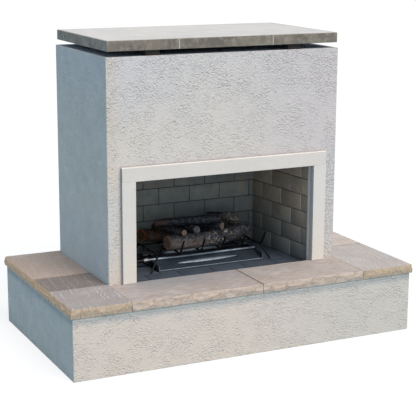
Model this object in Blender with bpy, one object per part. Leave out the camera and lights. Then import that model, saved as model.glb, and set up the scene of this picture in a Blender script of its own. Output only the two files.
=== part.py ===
"""Outdoor fireplace: a stucco tower on a wide stone-topped hearth, with a gas log set in its brick firebox.

Metres, +Z up, +X to the right of someone facing the mouth, +Y away from them.
The origin is on the ground under the middle of the hearth.
"""
import math
import random

import bmesh
import bpy
from mathutils import Vector

# Clearances and cuts
SEAT_GAP = 0.0003
OVERRUN = 0.020

# Facets and shading
ARC_STEPS = 4
ROUND_SMOOTH_SHARE = 0.2
LOG_SMOOTH_SHARE = 0.3
COPLANAR_SHARE = 0.0001
STEEP_SHARE = 0.1

# Hearth
HEARTH_HEIGHT = 0.450
HEARTH_REACH_FRONT = 0.372
HEARTH_REACH_SIDE = 0.372
HEARTH_REACH_BACK = 0.020
STUCCO_COAT = 0.016
STUCCO_CORNER_RADIUS = 0.006

# Coping slabs
COPING_THICKNESS = 0.057
COPING_OVERHANG = 0.016
COPING_JOINT = 0.004
COPING_CHISEL_DEPTH = 0.009
COPING_CHISEL_PITCH = 0.027
COPING_SIDE_JOINT_BACK = 0.320
COPING_SIDE_JOINT_FRONT = 0.026
COPING_RIGHT_JOINT = 0.237
COPING_FRONT_JOINT = 0.886
CHISEL_ROW_HEIGHT_SHARES = (0.0, 0.30, 0.72, 1.0)
CHISEL_ROW_INSET_SHARES = (0.45, 0.02, 0.10, 0.62)
CHISEL_NOISE_SHARE = 0.42
CHISEL_QUIET_SHARE = 0.6

# Tower
TOWER_CHEEK = 0.178
TOWER_RISE = 1.410
REAR_CORE_THICKNESS = 0.1118
FRONT_PANEL_THICKNESS = 0.030
CROWN_THICKNESS = 0.020

# Mouth and its surround
MOUTH_WIDTH = 1.264
MOUTH_RISE = 0.645
SURROUND_FACE = 0.092
SURROUND_THICKNESS = 0.028
SURROUND_ARRIS = 0.002
LINTEL_BAR_DEPTH = 0.044
LINTEL_BAR_THICKNESS = 0.008
LINTEL_BAR_END_GAP = 0.015
HEADER_HEIGHT = 0.104

# Firebox
BRICK_LENGTH = 0.2325
BRICK_COURSE = 0.1125
BRICK_THICKNESS = 0.064
BRICK_JOINT_WIDTH = 0.007
BRICK_JOINT_DEPTH = 0.004
BRICK_BOND_SHARE = 0.5
FIREBOX_STEP_OUT = 0.011
FIREBOX_DEPTH = 0.670
FIREBOX_SPLAY = 0.069
FLOOR_DROP = 0.030
REAR_WALL_FIRST_JOINT = 0.070
SIDE_WALL_FIRST_JOINT = 0.209
FLOOR_FIRST_JOINT = 0.110

# Smoke chamber and flue
FLUE_LENGTH = 0.3074
FLUE_OUTER = 0.330
FLUE_WALL = 0.028
FLUE_CORNER_RADIUS = 0.045
FLUE_STAND_UP = 0.008
THROAT_LEDGE = 0.045

# Cap
CAP_GAP = 0.035
CAP_THICKNESS = 0.064
CAP_INSET_SIDE = 0.009
CAP_INSET_FRONT = 0.001
CAP_INSET_BACK = 0.008
CAP_TILE = 0.012
CAP_TILE_JOINT = 0.002
CAP_TILE_ARRIS = 0.0015
CAP_JOINT_OFFSET = 0.326
SPACER_SIZE = 0.092
SPACER_OFFSET = 0.495
SPACER_SETBACK = 0.022

# Log grate
GRATE_WIDTH = 0.751
GRATE_DEPTH = 0.357
GRATE_REAR_SPACE = 0.1166
GRATE_HEIGHT = 0.110
GRATE_BAR_RADIUS = 0.00635
GRATE_BAR_COUNT = 6
GRATE_BAR_SIDES = 8
GRATE_BAR_TURN_SHARE = 0.5
GRATE_BEND_RADIUS = 0.016
GRATE_BEND_STEPS = 3
FINGER_RISE = 0.098
FINGER_LEAN = 0.062
LEG_SPLAY = 0.066
LEG_RAKE = 0.031
CROSS_BAR_SETBACK = 0.180
WELD_SINK = 0.003
LOG_SET_SHIFT = 0.015

# Logs. Each point of a log is its place over the grate as shares of the grate's width and depth,
# its height over what it lies on in radii, and its thickness in radii.
FRONT_LOG_RADIUS = 0.051
REAR_LOG_RADIUS = 0.045
LEFT_BRANCH_RADIUS = 0.022
MIDDLE_BRANCH_RADIUS = 0.026
RIGHT_BRANCH_RADIUS = 0.025
KNOB_LOG_RADIUS = 0.037
TOP_LOG_RADIUS = 0.029
LOG_FLAT = 0.004
LOG_NOTCH = 0.005
LOG_SIDES = 16
LOG_STEPS = 4
BRANCH_SIDES = 12
BRANCH_STEPS = 5
CREST_STEPS = 8
BARK_SHARE = 0.0275
BARK_WAVES = (2, 3, 5, 7)
BARK_TWIST_SHARE = 3
LOG_END_SHARE = 0.93
FRONT_LOG_SHARES = ((-0.367, 0.263, 1.0, 0.98), (-0.182, 0.213, 1.0, 1.0), (0.056, 0.232, 1.0, 0.98),
                    (0.216, 0.294, 1.02, 0.94), (0.384, 0.389, 1.42, 0.95), (0.483, 0.499, 1.52, 0.74))
REAR_LOG_SHARES = ((-0.453, 1.070, 1.0, 0.96), (-0.285, 0.930, 1.0, 1.0), (-0.087, 0.866, 1.0, 0.94),
                   (0.180, 0.854, 1.0, 0.90), (0.473, 0.846, 1.0, 0.80))
LEFT_BRANCH_SHARES = ((-0.345, 1.02, 1.0, 1.0), (-0.290, 0.60, 1.5, 1.05), (-0.229, 0.14, 1.0, 0.92))
MIDDLE_BRANCH_SHARES = ((-0.146, 0.960, 1.0, 0.9), (-0.115, 0.56, 1.3, 1.0), (-0.090, 0.216, 1.0, 1.0))
RIGHT_BRANCH_SHARES = ((0.020, 0.880, 1.0, 1.0), (0.110, 0.600, 1.3, 1.05), (0.188, 0.333, 1.0, 0.95))
KNOB_LOG_SHARES = ((0.200, 1.078, 1.5, 0.38), (0.313, 0.958, 1.3, 0.6), (0.421, 0.832, 1.0, 1.0),
                   (0.466, 0.776, 0.8, 0.9))
TOP_LOG_SHARES = ((-0.395, 0.600, 1.0, 0.75), (-0.104, 0.459, 1.0, 1.05), (0.165, 0.359, 1.0, 0.78))

# Burner
PAN_WIDTH = 0.773
PAN_SHIFT = 0.020
PAN_AHEAD = 0.008
PAN_DEPTH = 0.327
PAN_SHEET = 0.002
PAN_LIP = 0.009
PAN_FRONT_CORNER = 0.028
PAN_HEIGHT = 0.053
APRON_START = 0.009
APRON_DEPTH = 0.122
APRON_HEIGHT = 0.040
TUBE_RADIUS = 0.011
TUBE_SIDES = 16
TUBE_HEIGHT = 0.050
REAR_TUBE_INSET = 0.062
TUBE_OVERHANG = 0.006
FRONT_TUBE_LEFT_REACH = 0.030
MANIFOLD_RADIUS = 0.009
MANIFOLD_INSET = 0.040

# Gas supply
COUPLING_WALL = 0.0017
COUPLING_LENGTH = 0.032
COUPLING_SOCKET = 0.012
COUPLING_SIDES = 6
PIPE_RADIUS = 0.0107
PIPE_SIDES = 16
VALVE_BELLY = 0.0034
VALVE_BODY_LENGTH = 0.058
VALVE_SOCKET = 0.012
VALVE_SHOULDER = 0.006
VALVE_COLLAR_WALL = 0.0046
WALL_STUB_BITE = 0.040
STEM_RADIUS = 0.005
STEM_HEIGHT = 0.009
LEVER_LENGTH = 0.070
LEVER_WIDTH = 0.014
LEVER_THICKNESS = 0.003
LEVER_ARRIS = 0.0008
LEVER_RISE = 0.010

# Levels and lines worked out from the sizes above
TOWER_DEPTH = (2 * STUCCO_COAT + FRONT_PANEL_THICKNESS + FIREBOX_DEPTH + BRICK_THICKNESS
               + REAR_CORE_THICKNESS + 4 * SEAT_GAP)
TOTAL_DEPTH = 2 * COPING_OVERHANG + HEARTH_REACH_FRONT + TOWER_DEPTH + HEARTH_REACH_BACK
MOUTH_HALF = MOUTH_WIDTH / 2
TOWER_HALF = MOUTH_HALF + TOWER_CHEEK
TOWER_FRONT = -TOTAL_DEPTH / 2 + COPING_OVERHANG + HEARTH_REACH_FRONT
TOWER_BACK = TOWER_FRONT + TOWER_DEPTH
HEARTH_HALF = TOWER_HALF + HEARTH_REACH_SIDE
HEARTH_FRONT = TOWER_FRONT - HEARTH_REACH_FRONT
HEARTH_BACK = TOWER_BACK + HEARTH_REACH_BACK
DECK = HEARTH_HEIGHT - COPING_THICKNESS
TOWER_TOP = HEARTH_HEIGHT + TOWER_RISE
CORE_HALF = TOWER_HALF - STUCCO_COAT - SEAT_GAP
CORE_BACK = TOWER_BACK - STUCCO_COAT - SEAT_GAP
PANEL_FRONT = TOWER_FRONT + STUCCO_COAT + SEAT_GAP
PANEL_BACK = PANEL_FRONT + FRONT_PANEL_THICKNESS
FIREBOX_FRONT = PANEL_BACK + SEAT_GAP
FIREBOX_BACK = FIREBOX_FRONT + FIREBOX_DEPTH
MOUTH_TOP = HEARTH_HEIGHT + MOUTH_RISE
LINTEL_TOP = MOUTH_TOP + LINTEL_BAR_THICKNESS
FIREBOX_FRONT_HALF = MOUTH_HALF + FIREBOX_STEP_OUT
FIREBOX_BACK_HALF = FIREBOX_FRONT_HALF - FIREBOX_SPLAY
FIREBOX_FLOOR = HEARTH_HEIGHT - FLOOR_DROP
WALL_BASE = FIREBOX_FLOOR + SEAT_GAP
WALL_TOP = LINTEL_TOP + HEADER_HEIGHT
CHAMBER_BASE = WALL_TOP + SEAT_GAP
FLUE_TOP = TOWER_TOP + FLUE_STAND_UP
FLUE_BASE = FLUE_TOP - FLUE_LENGTH
CHAMBER_TOP = FLUE_BASE - SEAT_GAP
FLUE_HALF = FLUE_OUTER / 2
FLUE_CENTRE = (FIREBOX_FRONT + CORE_BACK) / 2
CAP_BASE = TOWER_TOP + CAP_GAP
CAP_TOP = CAP_BASE + CAP_THICKNESS
BAR_AXIS = FIREBOX_FLOOR + GRATE_HEIGHT
BAR_TOP = BAR_AXIS + GRATE_BAR_RADIUS
GRATE_BACK = FIREBOX_BACK - GRATE_REAR_SPACE
GRATE_FRONT = GRATE_BACK - GRATE_DEPTH
PAN_BASE = FIREBOX_FLOOR + SEAT_GAP
PAN_FRONT = GRATE_FRONT - PAN_AHEAD
PAN_BACK = PAN_FRONT + PAN_DEPTH
PAN_LEFT = PAN_SHIFT - PAN_WIDTH / 2
PAN_RIGHT = PAN_SHIFT + PAN_WIDTH / 2
TUBE_AXIS = FIREBOX_FLOOR + TUBE_HEIGHT
TROUGH_FRONT = PAN_FRONT + APRON_START + APRON_DEPTH
FRONT_TUBE_Y = TROUGH_FRONT + TUBE_RADIUS
REAR_TUBE_Y = PAN_BACK - REAR_TUBE_INSET
COUPLING_RADIUS = (max(PIPE_RADIUS, TUBE_RADIUS) + SEAT_GAP + COUPLING_WALL) / math.cos(math.pi / COUPLING_SIDES)
VALVE_COLLAR_RADIUS = PIPE_RADIUS + SEAT_GAP + VALVE_COLLAR_WALL
VALVE_BODY_RADIUS = VALVE_COLLAR_RADIUS + VALVE_BELLY


def clear_scene():
    """Empty the scene of every object."""
    for item in list(bpy.data.objects):
        bpy.data.objects.remove(item, do_unlink=True)


def make_material(name, colour, roughness, metallic=0.0):
    """One Principled material."""
    material = bpy.data.materials.new(name)
    material.use_nodes = True
    shader = material.node_tree.nodes["Principled BSDF"]
    shader.inputs["Base Color"].default_value = (*colour, 1.0)
    shader.inputs["Roughness"].default_value = roughness
    shader.inputs["Metallic"].default_value = metallic
    material.diffuse_color = (*colour, 1.0)
    return material


def add_object(name, bm, material=None, pivot=None, parent=None):
    """Turn a bmesh in world places into an object whose origin is at its pivot."""
    bmesh.ops.recalc_face_normals(bm, faces=bm.faces)
    corners = [vert.co.copy() for vert in bm.verts]
    if pivot is None:
        low = Vector(min(co[axis] for co in corners) for axis in range(3))
        high = Vector(max(co[axis] for co in corners) for axis in range(3))
        pivot = (low + high) / 2
    pivot = Vector(pivot)
    bmesh.ops.translate(bm, verts=bm.verts, vec=-pivot)
    mesh = bpy.data.meshes.new(name)
    bm.to_mesh(mesh)
    bm.free()
    item = bpy.data.objects.new(name, mesh)
    bpy.context.collection.objects.link(item)
    item.location = pivot
    if parent is not None:
        item.parent = parent
        item.location = pivot - parent.location
    if material is not None:
        mesh.materials.append(material)
    return item


def add_pivot(name, place):
    """An empty that moving pieces hang from."""
    pivot = bpy.data.objects.new(name, None)
    bpy.context.collection.objects.link(pivot)
    pivot.location = place
    return pivot


def add_cutter(name, bm):
    """A solid that only cuts or joins others."""
    cutter = add_object(name, bm)
    cutter.hide_render = True
    cutter.display_type = "WIRE"
    return cutter


def combine(item, other, operation):
    """Cut, join or intersect an object with a cutter."""
    modifier = item.modifiers.new(other.name, "BOOLEAN")
    modifier.operation = operation
    modifier.object = other
    modifier.solver = "EXACT"


def bevel(item, width, segments=1):
    """Break every sharp edge of an object."""
    modifier = item.modifiers.new("Arris", "BEVEL")
    modifier.width = width
    modifier.segments = segments
    modifier.limit_method = "ANGLE"


def smooth(item, angle_share=ROUND_SMOOTH_SHARE):
    """Shade a round piece smooth but keep its real edges, the angle as a share of a half turn."""
    item.data.shade_smooth()
    item.data.set_sharp_from_angle(angle=angle_share * math.pi)


def block_bmesh(low, high):
    """A box between two corners."""
    bm = bmesh.new()
    bmesh.ops.create_cube(bm, size=1)
    low = Vector(low)
    high = Vector(high)
    bmesh.ops.scale(bm, verts=bm.verts, vec=high - low)
    bmesh.ops.translate(bm, verts=bm.verts, vec=(low + high) / 2)
    return bm


def prism_bmesh(outline, low, high, axis="Z"):
    """Extrude a flat outline along an axis, its points given in the two other axes in order."""
    bm = bmesh.new()
    verts = []
    for first, second in outline:
        place = {"X": (low, first, second), "Y": (first, low, second), "Z": (first, second, low)}[axis]
        verts.append(bm.verts.new(place))
    face = bm.faces.new(verts)
    made = bmesh.ops.extrude_face_region(bm, geom=[face])
    moved = [part for part in made["geom"] if isinstance(part, bmesh.types.BMVert)]
    step = {"X": (high - low, 0, 0), "Y": (0, high - low, 0), "Z": (0, 0, high - low)}[axis]
    bmesh.ops.translate(bm, verts=moved, vec=step)
    return bm


def hull_bmesh(points):
    """The convex solid through a set of corners."""
    bm = bmesh.new()
    for point in points:
        bm.verts.new(point)
    bmesh.ops.convex_hull(bm, input=bm.verts)
    bmesh.ops.dissolve_limit(bm, angle_limit=COPLANAR_SHARE * math.pi, verts=bm.verts, edges=bm.edges)
    return bm


def rounded_rectangle(low, high, radius):
    """A rectangle's outline with arc corners, anticlockwise."""
    points = []
    corners = ((high[0], high[1], 0), (low[0], high[1], 1), (low[0], low[1], 2), (high[0], low[1], 3))
    for corner_x, corner_y, quarter in corners:
        centre_x = corner_x - math.copysign(radius, corner_x - (low[0] + high[0]) / 2)
        centre_y = corner_y - math.copysign(radius, corner_y - (low[1] + high[1]) / 2)
        for step in range(ARC_STEPS + 1):
            angle = (quarter + step / ARC_STEPS) * math.pi / 2
            points.append((centre_x + radius * math.cos(angle), centre_y + radius * math.sin(angle)))
    return points


def rounded_path(points, radius, steps):
    """A path whose inner corners are arcs."""
    points = [Vector(point) for point in points]
    path = [points[0]]
    for before, corner, after in zip(points, points[1:], points[2:]):
        back = (before - corner).normalized()
        ahead = (after - corner).normalized()
        half = back.angle(ahead) / 2
        reach = radius / math.tan(half)
        centre = corner + (back + ahead).normalized() * (radius / math.sin(half))
        start = corner + back * reach - centre
        end = corner + ahead * reach - centre
        turn = start.angle(end)
        for step in range(steps + 1):
            share = step / steps
            spoke = (start * math.sin((1 - share) * turn) + end * math.sin(share * turn)) / math.sin(turn)
            path.append(centre + spoke)
    path.append(points[-1])
    return path


def smooth_path(points, steps):
    """A curve through the points, with steps stretches between each two."""
    points = [Vector(point) for point in points]
    padded = [2 * points[0] - points[1], *points, 2 * points[-1] - points[-2]]
    path = []
    for first, second, third, fourth in zip(padded, padded[1:], padded[2:], padded[3:]):
        for step in range(steps):
            t = step / steps
            path.append((2 * second + (third - first) * t
                         + (2 * first - 5 * second + 4 * third - fourth) * t ** 2
                         + (3 * second - first - 3 * third + fourth) * t ** 3) / 2)
    path.append(points[-1])
    return path


def ring_frames(path):
    """For each point of a path, two directions across it that turn as little as they can."""
    tangents = []
    for index in range(len(path)):
        before = path[max(index - 1, 0)]
        after = path[min(index + 1, len(path) - 1)]
        tangents.append((after - before).normalized())
    side = tangents[0].cross(Vector((0, 0, 1)))
    if side.length < STEEP_SHARE:
        side = tangents[0].cross(Vector((0, 1, 0)))
    frames = []
    for tangent in tangents:
        side = (side - tangent * side.dot(tangent)).normalized()
        frames.append((side, side.cross(tangent)))
    return frames


def skin_bmesh(rings):
    """A closed solid through rings of points, with flat ends."""
    bm = bmesh.new()
    loops = [[bm.verts.new(point) for point in ring] for ring in rings]
    count = len(rings[0])
    for lower, upper in zip(loops, loops[1:]):
        for index in range(count):
            following = (index + 1) % count
            bm.faces.new((lower[index], lower[following], upper[following], upper[index]))
    bm.faces.new(list(reversed(loops[0])))
    bm.faces.new(loops[-1])
    return bm


def tube_bmesh(path, radius, sides, turn_share=0.0):
    """A round bar of one radius along a path."""
    rings = []
    for place, (side, up) in zip(path, ring_frames(path)):
        ring = []
        for index in range(sides):
            angle = 2 * math.pi * (index + turn_share) / sides
            ring.append(place + radius * (side * math.cos(angle) + up * math.sin(angle)))
        rings.append(ring)
    return skin_bmesh(rings)


def turned_bmesh(start, direction, profile, sides):
    """A turned piece: (distance along, radius) pairs swept round its axis."""
    axis = Vector(direction).normalized()
    side, up = ring_frames([Vector((0, 0, 0)), axis])[0]
    rings = []
    for along, radius in profile:
        centre = Vector(start) + axis * along
        ring = []
        for index in range(sides):
            angle = 2 * math.pi * index / sides
            ring.append(centre + radius * (side * math.cos(angle) + up * math.sin(angle)))
        rings.append(ring)
    return skin_bmesh(rings)


# Hearth

def build_hearth_core(material):
    """The masonry block under the coping and the tower."""
    half = HEARTH_HALF - STUCCO_COAT - SEAT_GAP
    front = HEARTH_FRONT + STUCCO_COAT + SEAT_GAP
    back = HEARTH_BACK - STUCCO_COAT - SEAT_GAP
    bm = block_bmesh((-half, front, 0), (half, back, DECK - SEAT_GAP))
    add_object("hearth_core", bm, material)


def build_hearth_stucco(material):
    """The stucco coat round the hearth, one skin with rounded corners."""
    outline = rounded_rectangle((-HEARTH_HALF, HEARTH_FRONT), (HEARTH_HALF, HEARTH_BACK), STUCCO_CORNER_RADIUS)
    coat = add_object("hearth_stucco", prism_bmesh(outline, 0, DECK - SEAT_GAP), material)
    inner_half = HEARTH_HALF - STUCCO_COAT
    low = (-inner_half, HEARTH_FRONT + STUCCO_COAT, -OVERRUN)
    high = (inner_half, HEARTH_BACK - STUCCO_COAT, DECK + OVERRUN)
    combine(coat, add_cutter("hearth_stucco_cut", block_bmesh(low, high)), "DIFFERENCE")


def chisel_noise(chips, row, index):
    """A repeatable number from -1 to 1 for one chip of a rock face."""
    return chips.uniform(-1, 1) * (1 if (row + index) % 2 else CHISEL_QUIET_SHARE)


def slab_outline(low, high, rough):
    """Points round a slab as (x, y, inward x, inward y), with many along each rough side."""
    corners = {"front": (low[0], low[1], 1, 0), "right": (high[0], low[1], 0, 1),
               "back": (high[0], high[1], -1, 0), "left": (low[0], high[1], 0, -1)}
    inward = {"front": (0, 1), "right": (-1, 0), "back": (0, -1), "left": (1, 0)}
    previous = {"front": "left", "right": "front", "back": "right", "left": "back"}
    points = []
    for side, (start_x, start_y, along_x, along_y) in corners.items():
        length = (high[0] - low[0]) if side in ("front", "back") else (high[1] - low[1])
        steps = max(2, round(length / COPING_CHISEL_PITCH)) if side in rough else 1
        for step in range(steps):
            move = length * step / steps
            inward_x, inward_y = inward[side] if side in rough else (0, 0)
            if step == 0 and previous[side] in rough:
                inward_x += inward[previous[side]][0]
                inward_y += inward[previous[side]][1]
            points.append((start_x + along_x * move, start_y + along_y * move, inward_x, inward_y))
    return points


def build_coping_slab(name, low, high, rough, seed, material):
    """One slab: sawn where it meets its neighbours, chiselled like split rock where it shows."""
    chips = random.Random(seed)
    outline = slab_outline(low, high, rough)
    base = DECK
    rings = []
    for row, (height_share, inset_share) in enumerate(zip(CHISEL_ROW_HEIGHT_SHARES, CHISEL_ROW_INSET_SHARES)):
        ring = []
        for index, (x, y, inward_x, inward_y) in enumerate(outline):
            chip = max(0, inset_share + CHISEL_NOISE_SHARE * chisel_noise(chips, row, index))
            inset = COPING_CHISEL_DEPTH * chip
            ring.append((x + inward_x * inset, y + inward_y * inset, base + height_share * COPING_THICKNESS))
        rings.append(ring)
    add_object(name, skin_bmesh(rings), material)


def build_coping(materials):
    """Seven slabs that show and a strip behind the tower."""
    outer_half = HEARTH_HALF + COPING_OVERHANG
    front = HEARTH_FRONT - COPING_OVERHANG
    back = HEARTH_BACK + COPING_OVERHANG
    half_joint = COPING_JOINT / 2
    side_inner = TOWER_HALF + SEAT_GAP
    left_front_joint = TOWER_FRONT + COPING_SIDE_JOINT_FRONT
    left_back_joint = TOWER_FRONT + COPING_SIDE_JOINT_BACK
    right_joint = TOWER_FRONT + COPING_RIGHT_JOINT
    front_joint = COPING_FRONT_JOINT - TOWER_HALF
    wall = TOWER_FRONT - SEAT_GAP
    slabs = (
        ("coping_left_rear", (-outer_half, left_back_joint + half_joint), (-side_inner, back), ("left", "back")),
        ("coping_left_middle", (-outer_half, left_front_joint + half_joint),
         (-side_inner, left_back_joint - half_joint), ("left",)),
        ("coping_front_left", (-TOWER_HALF + half_joint, front), (front_joint - half_joint, wall), ("front",)),
        ("coping_front_right", (front_joint + half_joint, front), (TOWER_HALF - half_joint, wall), ("front",)),
        ("coping_right_rear", (side_inner, right_joint + half_joint), (outer_half, back), ("right", "back")),
        ("coping_back_strip", (-TOWER_HALF + half_joint, TOWER_BACK + SEAT_GAP),
         (TOWER_HALF - half_joint, back), ("back",)),
    )
    for seed, (name, low, high, rough) in enumerate(slabs):
        build_coping_slab(name, low, high, rough, seed, materials[seed % len(materials)])
    corner_edge = -TOWER_HALF - half_joint
    build_coping_slab("coping_left_corner", (-outer_half, front), (corner_edge, left_front_joint - half_joint),
                      ("left", "front"), len(slabs), materials[1])
    build_coping_slab("coping_right_corner", (-corner_edge, front), (outer_half, right_joint - half_joint),
                      ("front", "right"), len(slabs) + 1, materials[0])


# Tower

def build_tower_core(material):
    """The masonry behind the stucco: two side walls and a rear wall, up to the smoke chamber."""
    outer_front = FIREBOX_FRONT_HALF + BRICK_THICKNESS + SEAT_GAP
    outer_back = FIREBOX_BACK_HALF + BRICK_THICKNESS + SEAT_GAP
    back = FIREBOX_BACK + BRICK_THICKNESS
    for side, name in ((-1, "tower_core_left"), (1, "tower_core_right")):
        outline = [(side * outer_front, FIREBOX_FRONT), (side * CORE_HALF, FIREBOX_FRONT),
                   (side * CORE_HALF, back), (side * outer_back, back), (side * outer_back, FIREBOX_BACK)]
        add_object(name, prism_bmesh(outline, DECK, WALL_TOP), material)
    low = (-CORE_HALF, back + SEAT_GAP, DECK)
    add_object("tower_core_rear", block_bmesh(low, (CORE_HALF, CORE_BACK, WALL_TOP)), material)


def firebox_half(y):
    """Half the firebox's width between its splayed walls."""
    return FIREBOX_FRONT_HALF - FIREBOX_SPLAY * (y - FIREBOX_FRONT) / FIREBOX_DEPTH


def chamber_half(height):
    """Half the smoke chamber's inner width at a height."""
    share = (height - CHAMBER_BASE) / (CHAMBER_TOP - CHAMBER_BASE)
    return FIREBOX_BACK_HALF + (FLUE_HALF - FIREBOX_BACK_HALF) * share


def build_smoke_chamber(material):
    """Four blocks that draw the firebox in to the flue, the front one over a header on the lintel bar."""
    for side, name in ((-1, "smoke_chamber_left"), (1, "smoke_chamber_right")):
        outline = [(side * FIREBOX_BACK_HALF, CHAMBER_BASE), (side * CORE_HALF, CHAMBER_BASE),
                   (side * CORE_HALF, CHAMBER_TOP), (side * FLUE_HALF, CHAMBER_TOP)]
        add_object(name, prism_bmesh(outline, FIREBOX_FRONT, CORE_BACK, "Y"), material)
    for name, wall, foot, throat in (
            ("smoke_chamber_front", FIREBOX_FRONT, FIREBOX_FRONT + THROAT_LEDGE, FLUE_CENTRE - FLUE_HALF),
            ("smoke_chamber_rear", CORE_BACK, FIREBOX_BACK, FLUE_CENTRE + FLUE_HALF)):
        bottom_half = chamber_half(CHAMBER_BASE) - SEAT_GAP
        top_half = chamber_half(CHAMBER_TOP) - SEAT_GAP
        points = []
        for side in (-1, 1):
            points += [(side * bottom_half, wall, CHAMBER_BASE), (side * bottom_half, foot, CHAMBER_BASE),
                       (side * top_half, wall, CHAMBER_TOP), (side * top_half, throat, CHAMBER_TOP)]
        add_object(name, hull_bmesh(points), material)
    foot = FIREBOX_FRONT + THROAT_LEDGE
    half = firebox_half(foot) - SEAT_GAP
    header = block_bmesh((-half, FIREBOX_FRONT, LINTEL_TOP + SEAT_GAP), (half, foot, WALL_TOP))
    add_object("header_block", header, material)


def build_flue(masonry, clay):
    """The block round the flue and the clay liner that stands in it."""
    low = (-CORE_HALF, FIREBOX_FRONT, FLUE_BASE)
    high = (CORE_HALF, CORE_BACK, TOWER_TOP - CROWN_THICKNESS - SEAT_GAP)
    block = add_object("flue_surround", block_bmesh(low, high), masonry)
    inner = FLUE_HALF - FLUE_WALL
    liner_low = (-FLUE_HALF, FLUE_CENTRE - FLUE_HALF)
    liner_high = (FLUE_HALF, FLUE_CENTRE + FLUE_HALF)
    outline = rounded_rectangle(liner_low, liner_high, FLUE_CORNER_RADIUS)
    liner = add_object("flue_liner", prism_bmesh(outline, FLUE_BASE, FLUE_TOP), clay)
    bore = rounded_rectangle((-inner, FLUE_CENTRE - inner), (inner, FLUE_CENTRE + inner),
                             FLUE_CORNER_RADIUS - FLUE_WALL)
    bore_cut = add_cutter("flue_bore_cut", prism_bmesh(bore, FLUE_BASE - OVERRUN, FLUE_TOP + OVERRUN))
    combine(liner, bore_cut, "DIFFERENCE")
    socket = rounded_rectangle((liner_low[0] - SEAT_GAP, liner_low[1] - SEAT_GAP),
                               (liner_high[0] + SEAT_GAP, liner_high[1] + SEAT_GAP),
                               FLUE_CORNER_RADIUS + SEAT_GAP)
    socket_cut = add_cutter("flue_socket_cut", prism_bmesh(socket, FLUE_BASE - OVERRUN, FLUE_TOP + OVERRUN))
    combine(block, socket_cut, "DIFFERENCE")
    return socket_cut


def build_crown(socket_cut, material):
    """The mortar crown that closes the tower's top round the liner."""
    low = (-CORE_HALF, PANEL_FRONT, TOWER_TOP - CROWN_THICKNESS)
    crown = add_object("tower_crown", block_bmesh(low, (CORE_HALF, CORE_BACK, TOWER_TOP)), material)
    combine(crown, socket_cut, "DIFFERENCE")


def mouth_outline(half, top, bottom):
    """An upright rectangle the width of the mouth, in X and Z."""
    return [(-half, bottom), (half, bottom), (half, top), (-half, top)]


def build_front_panel(material):
    """The board behind the front stucco, cut out for the mouth."""
    low = (-CORE_HALF, PANEL_FRONT, DECK)
    high = (CORE_HALF, PANEL_BACK, TOWER_TOP - CROWN_THICKNESS - SEAT_GAP)
    panel = add_object("front_panel", block_bmesh(low, high), material)
    outline = mouth_outline(MOUTH_HALF, MOUTH_TOP, DECK - OVERRUN)
    cut = add_cutter("front_panel_cut", prism_bmesh(outline, PANEL_FRONT - OVERRUN, PANEL_BACK + OVERRUN, "Y"))
    combine(panel, cut, "DIFFERENCE")


def build_lintel_bar(walls, material):
    """The steel bar over the mouth, its ends bedded in notches in the firebox's side walls."""
    half = FIREBOX_FRONT_HALF + BRICK_THICKNESS - LINTEL_BAR_END_GAP
    low = Vector((-half, FIREBOX_FRONT, MOUTH_TOP))
    high = Vector((half, FIREBOX_FRONT + LINTEL_BAR_DEPTH, LINTEL_TOP))
    add_object("lintel_bar", block_bmesh(low, high), material)
    gap = Vector((SEAT_GAP, SEAT_GAP, SEAT_GAP))
    notch = add_cutter("lintel_notch_cut", block_bmesh(low - gap, high + gap))
    for wall in walls.values():
        combine(wall, notch, "DIFFERENCE")


def build_tower_stucco(material):
    """The tower's stucco coat: one skin round four sides, open at the mouth."""
    outline = rounded_rectangle((-TOWER_HALF, TOWER_FRONT), (TOWER_HALF, TOWER_BACK), STUCCO_CORNER_RADIUS)
    coat = add_object("tower_stucco", prism_bmesh(outline, DECK, TOWER_TOP), material)
    inner_half = TOWER_HALF - STUCCO_COAT
    low = (-inner_half, TOWER_FRONT + STUCCO_COAT, DECK - OVERRUN)
    high = (inner_half, TOWER_BACK - STUCCO_COAT, TOWER_TOP + OVERRUN)
    combine(coat, add_cutter("tower_stucco_cut", block_bmesh(low, high)), "DIFFERENCE")
    mouth = mouth_outline(MOUTH_HALF, MOUTH_TOP, DECK - OVERRUN)
    mouth_cut = prism_bmesh(mouth, TOWER_FRONT - OVERRUN, TOWER_FRONT + STUCCO_COAT + OVERRUN, "Y")
    combine(coat, add_cutter("tower_mouth_cut", mouth_cut), "DIFFERENCE")


def build_surround(material):
    """Two jambs and a lintel, proud of the stucco."""
    front = TOWER_FRONT - SEAT_GAP - SURROUND_THICKNESS
    back = TOWER_FRONT - SEAT_GAP
    outer = MOUTH_HALF + SURROUND_FACE
    for side, name in ((-1, "surround_left_jamb"), (1, "surround_right_jamb")):
        edges = sorted((side * MOUTH_HALF, side * outer))
        bm = block_bmesh((edges[0], front, HEARTH_HEIGHT + SEAT_GAP), (edges[1], back, MOUTH_TOP))
        bevel(add_object(name, bm, material), SURROUND_ARRIS)
    low = (-outer, front, MOUTH_TOP + SEAT_GAP)
    bevel(add_object("surround_lintel", block_bmesh(low, (outer, back, MOUTH_TOP + SURROUND_FACE)), material),
          SURROUND_ARRIS)


# Firebox

def joint_lines(length, pitch, first):
    """Places of a grid's lines at half the pitch, ends included."""
    half = pitch * BRICK_BOND_SHARE
    start = first - pitch * math.ceil(first / pitch)
    count = math.ceil((length - start) / half) + 1
    inner = [start + half * step for step in range(count)]
    return [0] + [place for place in inner if BRICK_JOINT_WIDTH < place < length - BRICK_JOINT_WIDTH] + [length]


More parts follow.
